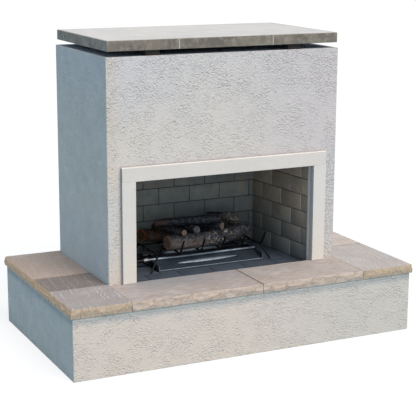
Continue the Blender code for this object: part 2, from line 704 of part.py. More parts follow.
def brick_panel_bmesh(corner, along, up, back, length, height, first_joint):
    """A slab faced with bricks in running bond.

    The corner is the face's low start, along and up are unit directions on the face,
    and back is the vector from the face to the slab's other side.
    """
    along = Vector(along)
    up = Vector(up)
    back = Vector(back)
    outward = along.cross(up).normalized()
    if outward.dot(back) > 0:
        outward = -outward
    sunk = back * (BRICK_JOINT_DEPTH / -back.dot(outward))
    bed = Vector(corner) + sunk
    columns = joint_lines(length, BRICK_LENGTH, first_joint)
    rows = [step * BRICK_COURSE for step in range(math.ceil(height / BRICK_COURSE))]
    rows = [row for row in rows if row < height - BRICK_JOINT_WIDTH] + [height]
    bm = bmesh.new()
    grid = [[bm.verts.new(bed + along * column + up * row) for column in columns] for row in rows]
    bricks = {}
    for course in range(len(rows) - 1):
        for index in range(len(columns) - 1):
            corners = (grid[course][index], grid[course][index + 1],
                       grid[course + 1][index + 1], grid[course + 1][index])
            face = bm.faces.new(corners)
            middle = (columns[index] + columns[index + 1]) / 2
            shift = BRICK_LENGTH * BRICK_BOND_SHARE * (course % 2)
            bricks.setdefault((course, math.floor((middle - first_joint - shift) / BRICK_LENGTH)), []).append(face)
    bm.normal_update()
    if next(iter(bm.faces)).normal.dot(outward) < 0:
        bmesh.ops.reverse_faces(bm, faces=bm.faces)
    edge = [item for item in bm.edges if item.is_boundary]
    made = bmesh.ops.extrude_edge_only(bm, edges=edge)
    moved = [part for part in made["geom"] if isinstance(part, bmesh.types.BMVert)]
    bmesh.ops.translate(bm, verts=moved, vec=back - sunk)
    rim = [part for part in made["geom"] if isinstance(part, bmesh.types.BMEdge) and part.is_boundary]
    bmesh.ops.contextual_create(bm, geom=rim)
    for faces in bricks.values():
        bmesh.ops.inset_region(bm, faces=faces, thickness=BRICK_JOINT_WIDTH / 2, depth=BRICK_JOINT_DEPTH,
                               use_even_offset=True, use_boundary=True)
    return bm


def build_firebox_walls(material):
    """The rear wall and the two walls that splay out to the front."""
    height = WALL_TOP - WALL_BASE
    half = FIREBOX_BACK_HALF + BRICK_THICKNESS
    rear = brick_panel_bmesh((-half, FIREBOX_BACK + SEAT_GAP, WALL_BASE), (1, 0, 0), (0, 0, 1),
                             (0, BRICK_THICKNESS - 2 * SEAT_GAP, 0), 2 * half, height,
                             REAR_WALL_FIRST_JOINT + BRICK_THICKNESS)
    add_object("firebox_rear_wall", rear, material)
    run = Vector((-FIREBOX_SPLAY, FIREBOX_DEPTH, 0))
    walls = {}
    for side, name in ((-1, "firebox_left_wall"), (1, "firebox_right_wall")):
        along = Vector((side * run.x, run.y, 0)).normalized()
        start = (side * FIREBOX_FRONT_HALF, FIREBOX_FRONT, WALL_BASE)
        bm = brick_panel_bmesh(start, along, (0, 0, 1), (side * BRICK_THICKNESS, 0, 0), run.length, height,
                               SIDE_WALL_FIRST_JOINT)
        walls[side] = add_object(name, bm, material)
    return walls


def build_firebox_floor(material):
    """Brick paving from the coping's edge to the rear wall, cut to the plan of the firebox."""
    front = TOWER_FRONT + SEAT_GAP
    half = FIREBOX_FRONT_HALF + BRICK_THICKNESS
    depth = FIREBOX_BACK + BRICK_THICKNESS - front
    bm = brick_panel_bmesh((-half, front, FIREBOX_FLOOR), (1, 0, 0), (0, 1, 0),
                           (0, 0, DECK - FIREBOX_FLOOR), 2 * half, depth, FLOOR_FIRST_JOINT)
    floor = add_object("firebox_floor", bm, material)
    mouth = MOUTH_HALF - SEAT_GAP
    outer_front = FIREBOX_FRONT_HALF + BRICK_THICKNESS
    outer_back = FIREBOX_BACK_HALF + BRICK_THICKNESS
    back = FIREBOX_BACK + BRICK_THICKNESS
    front = FIREBOX_FRONT + SEAT_GAP
    right = [(mouth, TOWER_FRONT - OVERRUN), (mouth, front), (outer_front, front), (outer_back, FIREBOX_BACK),
             (outer_back, back)]
    left = [(-x, y) for x, y in reversed(right)]
    plan = add_cutter("firebox_floor_plan", prism_bmesh(right + left, DECK - OVERRUN, FIREBOX_FLOOR + OVERRUN))
    combine(floor, plan, "INTERSECT")


# Cap

def build_spacers(material):
    """Four blocks that hold the cap clear of the tower."""
    for row, y in (("front", TOWER_FRONT + SPACER_SETBACK), ("rear", TOWER_BACK - SPACER_SETBACK - SPACER_SIZE)):
        for side, word in ((-1, "left"), (1, "right")):
            low = (side * SPACER_OFFSET - SPACER_SIZE / 2, y, TOWER_TOP + SEAT_GAP)
            high = (side * SPACER_OFFSET + SPACER_SIZE / 2, y + SPACER_SIZE, CAP_BASE - SEAT_GAP)
            add_object("cap_spacer_" + row + "_" + word, block_bmesh(low, high), material)


def build_cap(slab, tile):
    """The cap's slab and the tiles round its edge."""
    half = TOWER_HALF - CAP_INSET_SIDE
    front = TOWER_FRONT + CAP_INSET_FRONT
    back = TOWER_BACK - CAP_INSET_BACK
    step = CAP_TILE + SEAT_GAP
    low = (-half + step, front + step, CAP_BASE)
    add_object("cap_slab", block_bmesh(low, (half - step, back - step, CAP_TOP)), slab)
    half_joint = CAP_TILE_JOINT / 2
    pieces = (
        ("cap_tile_front_left", (-half, front), (-CAP_JOINT_OFFSET - half_joint, front + CAP_TILE)),
        ("cap_tile_front_middle", (-CAP_JOINT_OFFSET + half_joint, front),
         (CAP_JOINT_OFFSET - half_joint, front + CAP_TILE)),
        ("cap_tile_front_right", (CAP_JOINT_OFFSET + half_joint, front), (half, front + CAP_TILE)),
        ("cap_tile_left", (-half, front + step), (-half + CAP_TILE, back - step)),
        ("cap_tile_right", (half - CAP_TILE, front + step), (half, back - step)),
        ("cap_tile_back", (-half, back - CAP_TILE), (half, back)),
    )
    for name, corner, opposite in pieces:
        bm = block_bmesh((*corner, CAP_BASE), (*opposite, CAP_TOP))
        bevel(add_object(name, bm, tile), CAP_TILE_ARRIS)


# Log set

def grate_parts():
    """Every rod of the grate as (name, path): bars with fingers, cross bars and legs."""
    parts = []
    tip_y = GRATE_FRONT - FINGER_LEAN
    tip_z = BAR_AXIS + FINGER_RISE
    spacing = GRATE_WIDTH / (GRATE_BAR_COUNT - 1)
    for index in range(GRATE_BAR_COUNT):
        x = LOG_SET_SHIFT - GRATE_WIDTH / 2 + index * spacing
        corners = [(x, tip_y, tip_z), (x, GRATE_FRONT, BAR_AXIS), (x, GRATE_BACK, BAR_AXIS)]
        parts.append((f"bar_{index}", rounded_path(corners, GRATE_BEND_RADIUS, GRATE_BEND_STEPS)))
    drop = 2 * GRATE_BAR_RADIUS - WELD_SINK
    reach = GRATE_WIDTH / 2 + 2 * GRATE_BAR_RADIUS
    for name, y in (("cross_front", GRATE_FRONT + CROSS_BAR_SETBACK), ("cross_rear", GRATE_BACK - drop)):
        parts.append((name, [Vector((LOG_SET_SHIFT - reach, y, BAR_AXIS - drop)),
                             Vector((LOG_SET_SHIFT + reach, y, BAR_AXIS - drop))]))
    foot = FIREBOX_FLOOR + SEAT_GAP
    for side in (-1, 1):
        x = LOG_SET_SHIFT + side * GRATE_WIDTH / 2
        for name, y, rake in (("front", GRATE_FRONT + GRATE_BEND_RADIUS, -LEG_RAKE),
                              ("rear", GRATE_BACK - drop, LEG_RAKE)):
            parts.append((f"leg_{name}_{side}", [Vector((x, y, BAR_AXIS)),
                                                 Vector((x + side * LEG_SPLAY, y + rake, foot - OVERRUN))]))
    return parts


def build_grate(material):
    """The welded grate, lifted out as one piece."""
    pivot = add_pivot("grate_pivot", (LOG_SET_SHIFT, (GRATE_FRONT + GRATE_BACK) / 2, FIREBOX_FLOOR))
    grate = None
    for name, path in grate_parts():
        bm = tube_bmesh(path, GRATE_BAR_RADIUS, GRATE_BAR_SIDES, GRATE_BAR_TURN_SHARE)
        if grate is None:
            grate = add_object("grate", bm, material, pivot.location, pivot)
        else:
            combine(grate, add_cutter("grate_" + name, bm), "UNION")
    half = GRATE_WIDTH
    low = (-half, GRATE_FRONT - GRATE_DEPTH, FIREBOX_FLOOR - GRATE_HEIGHT)
    high = (half, GRATE_BACK + GRATE_DEPTH, FIREBOX_FLOOR + SEAT_GAP)
    combine(grate, add_cutter("grate_foot_cut", block_bmesh(low, high)), "DIFFERENCE")
    return pivot


def grate_place(x_share, y_share, z):
    """A place over the grate, as shares of its width and depth."""
    return Vector((LOG_SET_SHIFT + x_share * GRATE_WIDTH, GRATE_FRONT + y_share * GRATE_DEPTH, z))


def log_bmesh(plan, seed, extra=0, flat=None):
    """A charred log: a bent, tapering, knotty trunk with sawn ends.

    extra swells it all over, for cutting a seat, and flat is the level of its underside.
    Its bark is in triangles, so that a log and the seat cut for it match everywhere.
    """
    bark = random.Random(seed)
    waves = [(turns, bark.uniform(0, 2 * math.pi), bark.uniform(-BARK_TWIST_SHARE, BARK_TWIST_SHARE))
             for turns in BARK_WAVES]
    path = smooth_path(plan["axis"], plan["steps"])
    radii = plan["radii"]
    last = len(path) - 1
    rings = []
    for number, (place, (side, up)) in enumerate(zip(path, ring_frames(path))):
        along = number / last * (len(radii) - 1)
        lower = min(int(along), len(radii) - 2)
        radius = radii[lower] + (radii[lower + 1] - radii[lower]) * (along - lower)
        if number in (0, last):
            radius *= LOG_END_SHARE
        ring = []
        for index in range(plan["sides"]):
            angle = 2 * math.pi * index / plan["sides"]
            wave = sum(math.sin(turns * angle + phase + drift * number) for turns, phase, drift in waves)
            reach = radius * (1 + BARK_SHARE * wave) + extra
            point = place + reach * (side * math.cos(angle) + up * math.sin(angle))
            if flat is not None:
                point.z = max(point.z, flat)
            ring.append(point)
        rings.append(ring)
    bm = skin_bmesh(rings)
    bark_faces = [face for face in bm.faces if len(face.verts) < plan["sides"]]
    bmesh.ops.triangulate(bm, faces=bark_faces, quad_method="FIXED")
    return bm


def crest(plan, place):
    """Height of a log's top where it passes nearest to a place in plan, bark aside."""
    spots = []
    spans = zip(plan["axis"], plan["axis"][1:], plan["radii"], plan["radii"][1:])
    for start, end, start_radius, end_radius in spans:
        for step in range(CREST_STEPS + 1):
            share = step / CREST_STEPS
            spot = start + (end - start) * share
            distance = (spot.xy - place.xy).length
            spots.append((distance, spot.z + start_radius + (end_radius - start_radius) * share))
    return min(spots)[1]


def low_log_plan(shares, radius):
    """A large log that lies on the grate's bars, its underside flattened there."""
    level = BAR_TOP + SEAT_GAP - LOG_FLAT
    return {"axis": [grate_place(x, y, level + rise * radius) for x, y, rise, _ in shares],
            "radii": [thickness * radius for _, _, _, thickness in shares],
            "sides": LOG_SIDES, "steps": LOG_STEPS, "rests_on": (), "pivot": "grate"}


def upper_log_plan(shares, radius, plans, carriers, steps, pivot):
    """A log that lies on others: one carrier is named for each of its points."""
    axis = []
    for (x_share, y_share, rise, _), carrier in zip(shares, carriers):
        place = grate_place(x_share, y_share, 0)
        place.z = crest(plans[carrier], place) - LOG_NOTCH + rise * radius
        axis.append(place)
    return {"axis": axis, "radii": [thickness * radius for _, _, _, thickness in shares],
            "sides": BRANCH_SIDES, "steps": steps, "rests_on": tuple(dict.fromkeys(carriers)), "pivot": pivot}


def log_plans():
    """The plan of every log, each after those that carry it."""
    plans = {"log_front": low_log_plan(FRONT_LOG_SHARES, FRONT_LOG_RADIUS),
             "log_rear": low_log_plan(REAR_LOG_SHARES, REAR_LOG_RADIUS)}
    across = ("log_rear", "log_rear", "log_front")
    for name, shares, radius, carriers in (
            ("branch_left", LEFT_BRANCH_SHARES, LEFT_BRANCH_RADIUS, across),
            ("branch_middle", MIDDLE_BRANCH_SHARES, MIDDLE_BRANCH_RADIUS, across),
            ("branch_right", RIGHT_BRANCH_SHARES, RIGHT_BRANCH_RADIUS, across),
            ("log_knob", KNOB_LOG_SHARES, KNOB_LOG_RADIUS, ("log_rear",) * len(KNOB_LOG_SHARES))):
        plans[name] = upper_log_plan(shares, radius, plans, carriers, BRANCH_STEPS, "bridge")
    plans["log_top"] = upper_log_plan(TOP_LOG_SHARES, TOP_LOG_RADIUS, plans,
                                      ("branch_left", "branch_middle", "branch_right"), LOG_STEPS, "top")
    return plans


def build_logs(grate_pivot, bark):
    """Two large logs on the grate, four that bridge them, and one across the top."""
    middle = (LOG_SET_SHIFT, (GRATE_FRONT + GRATE_BACK) / 2, BAR_TOP)
    pivots = {"grate": grate_pivot, "bridge": add_pivot("bridge_pivot", middle),
              "top": add_pivot("top_pivot", middle)}
    plans = log_plans()
    seeds = {name: seed for seed, name in enumerate(plans)}
    for name, plan in plans.items():
        flat = None if plan["rests_on"] else BAR_TOP + SEAT_GAP
        pivot = pivots[plan["pivot"]]
        bm = log_bmesh(plan, seeds[name], flat=flat)
        log = add_object(name, bm, bark[seeds[name] % len(bark)], pivot.location, pivot)
        for under in plan["rests_on"]:
            seat = log_bmesh(plans[under], seeds[under], extra=SEAT_GAP)
            combine(log, add_cutter(name + "_on_" + under, seat), "DIFFERENCE")
        smooth(log, LOG_SMOOTH_SHARE)


# Burner and gas supply

def pan_sheet_outline():
    """The folded sheet of the pan in Y and Z: lip, apron, trough and rear wall, with its thickness."""
    sheet = PAN_SHEET
    trough = TROUGH_FRONT
    outer = [(PAN_FRONT, PAN_BASE + PAN_LIP), (PAN_FRONT, PAN_BASE), (PAN_BACK, PAN_BASE),
             (PAN_BACK, PAN_BASE + PAN_HEIGHT), (PAN_BACK - sheet, PAN_BASE + PAN_HEIGHT),
             (PAN_BACK - sheet, PAN_BASE + sheet), (trough + sheet, PAN_BASE + sheet),
             (trough + sheet, PAN_BASE + APRON_HEIGHT), (trough, PAN_BASE + APRON_HEIGHT),
             (PAN_FRONT + APRON_START, PAN_BASE + sheet), (PAN_FRONT + sheet, PAN_BASE + sheet),
             (PAN_FRONT + sheet, PAN_BASE + PAN_LIP)]
    return outer


def pan_end_outline():
    """The pan's end plate in Y and Z."""
    slope_end = FRONT_TUBE_Y
    return [(PAN_FRONT, PAN_BASE), (PAN_BACK, PAN_BASE), (PAN_BACK, PAN_BASE + PAN_HEIGHT),
            (slope_end, PAN_BASE + PAN_HEIGHT), (PAN_FRONT + APRON_START, PAN_BASE + PAN_FRONT_CORNER),
            (PAN_FRONT, PAN_BASE + PAN_FRONT_CORNER)]


def tube_cut(name, y):
    """A cutter that lets a burner tube lie in the pan's end plates."""
    profile = [(0, TUBE_RADIUS + SEAT_GAP), (PAN_WIDTH + 2 * OVERRUN, TUBE_RADIUS + SEAT_GAP)]
    return add_cutter(name, turned_bmesh((PAN_LEFT - OVERRUN, y, TUBE_AXIS), (1, 0, 0), profile, TUBE_SIDES))


def build_burner_pan(material):
    """The folded steel pan with its sloped apron and two notched end plates."""
    sheet = prism_bmesh(pan_sheet_outline(), PAN_LEFT, PAN_RIGHT, "X")
    pan = add_object("burner_pan", sheet, material)
    for name, start in (("pan_end_left", PAN_LEFT), ("pan_end_right", PAN_RIGHT - PAN_SHEET)):
        end = prism_bmesh(pan_end_outline(), start, start + PAN_SHEET, "X")
        combine(pan, add_cutter(name, end), "UNION")
    combine(pan, tube_cut("front_tube_cut", FRONT_TUBE_Y), "DIFFERENCE")
    combine(pan, tube_cut("rear_tube_cut", REAR_TUBE_Y), "DIFFERENCE")


def build_burner_tubes(material):
    """Two tubes that lie in the pan's end plates, joined by a short manifold."""
    left = PAN_LEFT - FRONT_TUBE_LEFT_REACH
    right = PAN_RIGHT + TUBE_OVERHANG
    for name, y, start in (("burner_tube_front", FRONT_TUBE_Y, left),
                           ("burner_tube_rear", REAR_TUBE_Y, PAN_LEFT - TUBE_OVERHANG)):
        profile = [(0, TUBE_RADIUS), (right - start, TUBE_RADIUS)]
        smooth(add_object(name, turned_bmesh((start, y, TUBE_AXIS), (1, 0, 0), profile, TUBE_SIDES), material))
    start = FRONT_TUBE_Y + TUBE_RADIUS + SEAT_GAP
    length = REAR_TUBE_Y - TUBE_RADIUS - SEAT_GAP - start
    bm = turned_bmesh((PAN_LEFT + MANIFOLD_INSET, start, TUBE_AXIS), (0, 1, 0),
                      [(0, MANIFOLD_RADIUS), (length, MANIFOLD_RADIUS)], TUBE_SIDES)
    smooth(add_object("burner_manifold", bm, material))


def socket_cut(name, x, depth, radius, direction):
    """A cutter for a blind socket on the gas line's axis, its mouth at x."""
    start = x - direction * OVERRUN
    profile = [(0, radius + SEAT_GAP), (OVERRUN + depth, radius + SEAT_GAP)]
    return add_cutter(name, turned_bmesh((start, FRONT_TUBE_Y, TUBE_AXIS), (direction, 0, 0), profile, PIPE_SIDES))


def build_gas_supply(left_wall, silver, iron, brass, red):
    """Coupling, pipe, valve with its lever, and the stub out of the left wall, all in one line."""
    tube_end = PAN_LEFT - FRONT_TUBE_LEFT_REACH
    coupling_right = tube_end + COUPLING_SOCKET
    coupling_left = coupling_right - COUPLING_LENGTH
    axis = (FRONT_TUBE_Y, TUBE_AXIS)
    bm = turned_bmesh((coupling_left, *axis), (1, 0, 0), [(0, COUPLING_RADIUS), (COUPLING_LENGTH, COUPLING_RADIUS)],
                      COUPLING_SIDES)
    coupling = add_object("burner_coupling", bm, silver)
    combine(coupling, socket_cut("coupling_tube_cut", coupling_right, COUPLING_SOCKET, TUBE_RADIUS, -1),
            "DIFFERENCE")
    combine(coupling, socket_cut("coupling_pipe_cut", coupling_left, COUPLING_SOCKET, PIPE_RADIUS, 1),
            "DIFFERENCE")
    wall = -firebox_half(FRONT_TUBE_Y)
    middle = (wall + coupling_left) / 2
    valve_left = middle - VALVE_BODY_LENGTH / 2
    valve_right = middle + VALVE_BODY_LENGTH / 2
    pipe_start = valve_right - VALVE_SOCKET + SEAT_GAP
    pipe_end = coupling_left + COUPLING_SOCKET - SEAT_GAP
    bm = turned_bmesh((pipe_start, *axis), (1, 0, 0), [(0, PIPE_RADIUS), (pipe_end - pipe_start, PIPE_RADIUS)],
                      PIPE_SIDES)
    smooth(add_object("gas_pipe", bm, iron))
    stub_start = wall - WALL_STUB_BITE
    stub_end = valve_left + VALVE_SOCKET - SEAT_GAP
    bm = turned_bmesh((stub_start, *axis), (1, 0, 0), [(0, PIPE_RADIUS), (stub_end - stub_start, PIPE_RADIUS)],
                      PIPE_SIDES)
    smooth(add_object("gas_wall_stub", bm, iron))
    hole = turned_bmesh((stub_start - SEAT_GAP, *axis), (1, 0, 0),
                        [(0, PIPE_RADIUS + SEAT_GAP), (valve_left - stub_start, PIPE_RADIUS + SEAT_GAP)],
                        PIPE_SIDES)
    combine(left_wall, add_cutter("stub_hole_cut", hole), "DIFFERENCE")
    belly = VALVE_SOCKET + VALVE_SHOULDER
    profile = [(0, VALVE_COLLAR_RADIUS), (VALVE_SOCKET, VALVE_COLLAR_RADIUS), (belly, VALVE_BODY_RADIUS),
               (VALVE_BODY_LENGTH - belly, VALVE_BODY_RADIUS),
               (VALVE_BODY_LENGTH - VALVE_SOCKET, VALVE_COLLAR_RADIUS), (VALVE_BODY_LENGTH, VALVE_COLLAR_RADIUS)]
    valve = add_object("gas_valve_body", turned_bmesh((valve_left, *axis), (1, 0, 0), profile, PIPE_SIDES), brass)
    stem_top = TUBE_AXIS + VALVE_BODY_RADIUS + STEM_HEIGHT
    stem = turned_bmesh((middle, *axis), (0, 0, 1), [(0, STEM_RADIUS), (stem_top - TUBE_AXIS, STEM_RADIUS)],
                        BRANCH_SIDES)
    combine(valve, add_cutter("valve_stem", stem), "UNION")
    combine(valve, socket_cut("valve_left_cut", valve_left, VALVE_SOCKET, PIPE_RADIUS, 1), "DIFFERENCE")
    combine(valve, socket_cut("valve_right_cut", valve_right, VALVE_SOCKET, PIPE_RADIUS, -1), "DIFFERENCE")
    build_valve_lever((middle, FRONT_TUBE_Y, stem_top + SEAT_GAP), red)


def build_valve_lever(place, material):
    """The valve's flat handle, closed across the pipe: a hub, a crank up and a grip, bent from one strip."""
    x, y, z = place
    half = LEVER_WIDTH / 2
    crank = LEVER_WIDTH
    thick = LEVER_THICKNESS
    rise = LEVER_RISE
    outline = [(y + half, z), (y + half, z + thick), (y - half, z + thick), (y - half - crank, z + thick + rise),
               (y - LEVER_LENGTH, z + thick + rise), (y - LEVER_LENGTH, z + rise), (y - half - crank, z + rise),
               (y - half, z)]
    pivot = add_pivot("lever_pivot", place)
    lever = add_object("gas_valve_lever", prism_bmesh(outline, x - half, x + half, "X"), material, place, pivot)
    bevel(lever, LEVER_ARRIS)


def build_all():
    """Every piece of the fireplace."""
    clear_scene()
    stucco = make_material("stucco", (0.62, 0.61, 0.58), 0.95)
    masonry = make_material("masonry", (0.42, 0.41, 0.39), 0.95)
    board = make_material("cement_board", (0.46, 0.46, 0.45), 0.9)
    stone_tan = make_material("coping_tan", (0.46, 0.38, 0.32), 0.85)
    stone_grey = make_material("coping_grey", (0.42, 0.37, 0.34), 0.85)
    cast = make_material("surround_stone", (0.74, 0.71, 0.66), 0.8)
    brick = make_material("firebrick", (0.10, 0.11, 0.105), 0.9)
    clay = make_material("flue_clay", (0.20, 0.10, 0.07), 0.9)
    mortar = make_material("crown_mortar", (0.36, 0.40, 0.42), 0.9)
    cap_stone = make_material("cap_stone", (0.66, 0.66, 0.64), 0.8)
    tile = make_material("cap_tile", (0.21, 0.19, 0.16), 0.7)
    steel = make_material("blackened_steel", (0.03, 0.03, 0.03), 0.6, 0.6)
    pan_steel = make_material("pan_steel", (0.10, 0.11, 0.12), 0.3, 0.9)
    silver = make_material("plated_fitting", (0.60, 0.60, 0.60), 0.3, 1.0)
    brass = make_material("valve_brass", (0.55, 0.40, 0.18), 0.35, 1.0)
    red = make_material("lever_red", (0.45, 0.04, 0.03), 0.5)
    bark = [make_material("bark_dark", (0.05, 0.045, 0.042), 0.95),
            make_material("bark_brown", (0.09, 0.065, 0.05), 0.95)]
    build_hearth_core(masonry)
    build_hearth_stucco(stucco)
    build_coping([stone_tan, stone_grey])
    build_tower_core(masonry)
    build_smoke_chamber(masonry)
    socket_cutter = build_flue(masonry, clay)
    build_crown(socket_cutter, mortar)
    build_front_panel(board)
    build_tower_stucco(stucco)
    build_surround(cast)
    walls = build_firebox_walls(brick)
    build_lintel_bar(walls, steel)
    build_firebox_floor(brick)
    build_spacers(mortar)
    build_cap(cap_stone, tile)
    grate_pivot = build_grate(steel)
    build_logs(grate_pivot, bark)
    build_burner_pan(pan_steel)
    build_burner_tubes(pan_steel)
    build_gas_supply(walls[-1], silver, steel, brass, red)
    bpy.context.view_layer.update()


build_all()
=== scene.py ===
import math
import random

import bmesh
import bpy
from mathutils import Matrix, Vector, noise
from mathutils.bvhtree import BVHTree


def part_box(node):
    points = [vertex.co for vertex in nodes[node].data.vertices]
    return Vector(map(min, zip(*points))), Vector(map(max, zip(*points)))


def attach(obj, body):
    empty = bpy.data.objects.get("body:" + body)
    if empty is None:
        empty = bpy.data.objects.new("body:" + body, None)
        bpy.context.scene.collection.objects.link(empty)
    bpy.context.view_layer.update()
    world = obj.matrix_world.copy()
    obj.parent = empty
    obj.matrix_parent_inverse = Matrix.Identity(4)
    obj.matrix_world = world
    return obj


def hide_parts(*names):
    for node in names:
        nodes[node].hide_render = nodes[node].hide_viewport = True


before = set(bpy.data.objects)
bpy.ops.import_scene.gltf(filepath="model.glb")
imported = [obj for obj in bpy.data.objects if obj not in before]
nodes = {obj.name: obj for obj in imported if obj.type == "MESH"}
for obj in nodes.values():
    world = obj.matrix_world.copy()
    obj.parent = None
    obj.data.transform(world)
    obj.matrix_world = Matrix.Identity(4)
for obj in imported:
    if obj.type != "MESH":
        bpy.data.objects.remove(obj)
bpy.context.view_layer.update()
scene = bpy.context.scene
# noise_vector takes its offsets from this seed, and from the clock where none is set.
noise.seed_set(1)


# Colours and wiring

def tone(red, green, blue):
    """A screen colour, each part from 0 to 255, as linear light."""
    shares = [part / 255 for part in (red, green, blue)]
    return (*[s / 12.92 if s <= 0.04045 else ((s + 0.055) / 1.055) ** 2.4 for s in shares], 1.0)


class Wire:
    """One output in a node tree. Arithmetic on it adds the nodes that work it out."""

    def __init__(self, web, socket):
        self.web, self.socket = web, socket

    def __add__(self, other):
        return self.web.maths("ADD", self, other)

    def __sub__(self, other):
        return self.web.maths("SUBTRACT", self, other)

    def __rsub__(self, other):
        return self.web.maths("SUBTRACT", other, self)

    def __mul__(self, other):
        return self.web.maths("MULTIPLY", self, other)

    def __truediv__(self, other):
        return self.web.maths("DIVIDE", self, other)

    def __rtruediv__(self, other):
        return self.web.maths("DIVIDE", other, self)

    def __abs__(self):
        return self.web.maths("ABSOLUTE", self)

    def step(self, low, high, start, end):
        """A smooth change from start to end while this goes from low to high."""
        return self.web.put("ShaderNodeMapRange", {"Value": self, "From Min": low, "From Max": high,
                                                   "To Min": start, "To Max": end}, interpolation_type="SMOOTHSTEP")

    def rise(self, low, high, top=1.0):
        return self.step(low, high, 0.0, top)

    def fall(self, low, high, top=1.0):
        return self.step(low, high, top, 0.0)


class Wiring:
    """A node tree being wired up. Each call adds a node and gives back one of its outputs."""

    def __init__(self, tree):
        self.tree = tree

    def feed(self, value, socket):
        """Links a wire to a socket, or sets the socket to a plain value."""
        if isinstance(value, Wire):
            self.tree.links.new(value.socket, socket)
        else:
            socket.default_value = value

    def put(self, kind, inputs=None, output=0, **settings):
        node = self.tree.nodes.new(kind)
        for name, value in settings.items():
            setattr(node, name, value)
        for name, value in (inputs or {}).items():
            self.feed(value, node.inputs[name])
        return Wire(self, node.outputs[output])

    def maths(self, operation, *values):
        return self.put("ShaderNodeMath", dict(enumerate(values)), operation=operation)

    def vectors(self, operation, *values):
        return self.put("ShaderNodeVectorMath", dict(enumerate(values)), operation=operation)

    def moved(self, place, by):
        return self.vectors("ADD", place, by)

    def scaled(self, place, by):
        return self.put("ShaderNodeVectorMath", {0: place, 3: by}, operation="SCALE")

    def stretch(self, place, scale, turn=(0, 0, 0)):
        return self.put("ShaderNodeMapping", {"Vector": place, "Scale": scale, "Rotation": turn})

    def bent(self, place, scale, reach):
        """A place pushed about by a coarse noise, so that a pattern on it doesn't run straight."""
        drift = self.put("ShaderNodeTexNoise", {"Vector": place, "Scale": scale, "Detail": 2.0}, 1)
        return self.moved(place, self.scaled(drift, reach))

    def parts(self, place):
        return [self.put("ShaderNodeSeparateXYZ", {0: place}, axis) for axis in range(3)]

    def spot(self, *values):
        return self.put("ShaderNodeCombineXYZ", dict(enumerate(values)))

    def attribute(self, name):
        return self.put("ShaderNodeAttribute", output="Fac", attribute_name=name)

    def noise(self, place, size, detail=3.0, roughness=0.5, distortion=0.0):
        return self.put("ShaderNodeTexNoise", {"Vector": place, "Scale": 1 / size, "Detail": detail,
                                               "Roughness": roughness, "Distortion": distortion})

    def cells(self, place, size, feature="F1"):
        return self.put("ShaderNodeTexVoronoi", {"Vector": place, "Scale": 1 / size}, feature=feature)

    def mix(self, share, low, high):
        """Two colours mixed. Three numbers are a screen colour, and four are linear light."""
        low, high = (tone(*colour) if isinstance(colour, tuple) and len(colour) == 3 else colour
                     for colour in (low, high))
        return self.put("ShaderNodeMix", {0: share, 6: low, 7: high}, 2, data_type="RGBA")

    def coats(self, colour, *layers):
        """A colour with others laid over it, each given as its share and its colour."""
        for share, over in layers:
            colour = self.mix(share, colour, over)
        return colour

    def bump(self, height, distance, strength=1.0):
        return self.put("ShaderNodeBump", {"Height": height, "Distance": distance, "Strength": strength})

    def group(self, tree, **inputs):
        """Places a shader group and gives back its outputs by name."""
        node = self.put("ShaderNodeGroup", inputs, node_tree=tree).socket.node
        return {socket.name: Wire(self, socket) for socket in node.outputs}


def kind_of(label, start=0.0):
    """The kind of a group's socket, from its name and its starting value."""
    if label == "Geometry":
        return "NodeSocketGeometry"
    if label.endswith("Finish"):
        return "NodeSocketMaterial"
    if isinstance(start, tuple):
        return "NodeSocketVector" if len(start) == 3 else "NodeSocketColor"
    return "NodeSocketInt" if isinstance(start, int) else "NodeSocketFloat"


def node_group(name, kind, wire, takes):
    """A node group. wire(web, *inputs) gives its outputs by name, and takes gives each input's starting value."""
    tree = bpy.data.node_groups.new(name, kind)
    for label, start in takes.items():
        made = tree.interface.new_socket(label, in_out="INPUT", socket_type=kind_of(label, start))
        if start is not None:
            made.default_value = start
    web = Wiring(tree)
    entry = tree.nodes.new("NodeGroupInput")
    results = wire(web, *[Wire(web, entry.outputs[label]) for label in takes])
    for label in results:
        tree.interface.new_socket(label, in_out="OUTPUT",
                                  socket_type="NodeSocketColor" if label == "Colour" else kind_of(label))
    leave = tree.nodes.new("NodeGroupOutput")
    for label, value in results.items():
        web.feed(value, leave.inputs[label])
    return tree


def finish(name, wire, **constants):
    """A material. wire(web, place) gives the Principled sockets that change over the surface."""
    material = bpy.data.materials.new(name)
    material.use_nodes = True
    web = Wiring(material.node_tree)
    shader = material.node_tree.nodes["Principled BSDF"]
    for label, value in constants.items():
        shader.inputs[label.replace("_", " ")].default_value = value
    for label, value in wire(web, web.put("ShaderNodeTexCoord", output="Object")).items():
        web.feed(value, shader.inputs[label])
    return material


# Effects that several finishes share

ORIGIN = (0.0, 0.0, 0.0)
GREY = (0.5, 0.5, 0.5, 1.0)


def wire_weathering(web, place, fineness, base, dark, pale, speck, patches, specks):
    """Broad patches towards the dark colour, smaller ones towards the pale one, and fine specks."""
    scaled = web.scaled(place, fineness)
    broad_patch = web.noise(scaled, 1.0, 4.0, 0.62).rise(0.36, 0.66)
    small_patch = web.noise(web.moved(scaled, (7.3, 2.1, 5.7)), 0.31, 5.0, 0.6).rise(0.45, 0.72)
    dots = web.noise(scaled, 0.035, 2.0, 0.7).rise(0.6, 0.76)
    return {"Colour": web.coats(base, (broad_patch * patches, dark), (small_patch * patches, pale),
                                (dots * specks, speck))}


def wire_grain(web, place, fineness, roughness):
    """Fine mineral grain: a height and a roughness that change together."""
    scaled = web.scaled(place, fineness)
    coarse = web.noise(scaled, 1.0, 4.0, 0.65)
    return {"Height": coarse * 0.65 + web.noise(scaled, 0.22, 3.0, 0.7) * 0.35,
            "Roughness": roughness + (coarse - 0.5) * 0.3}


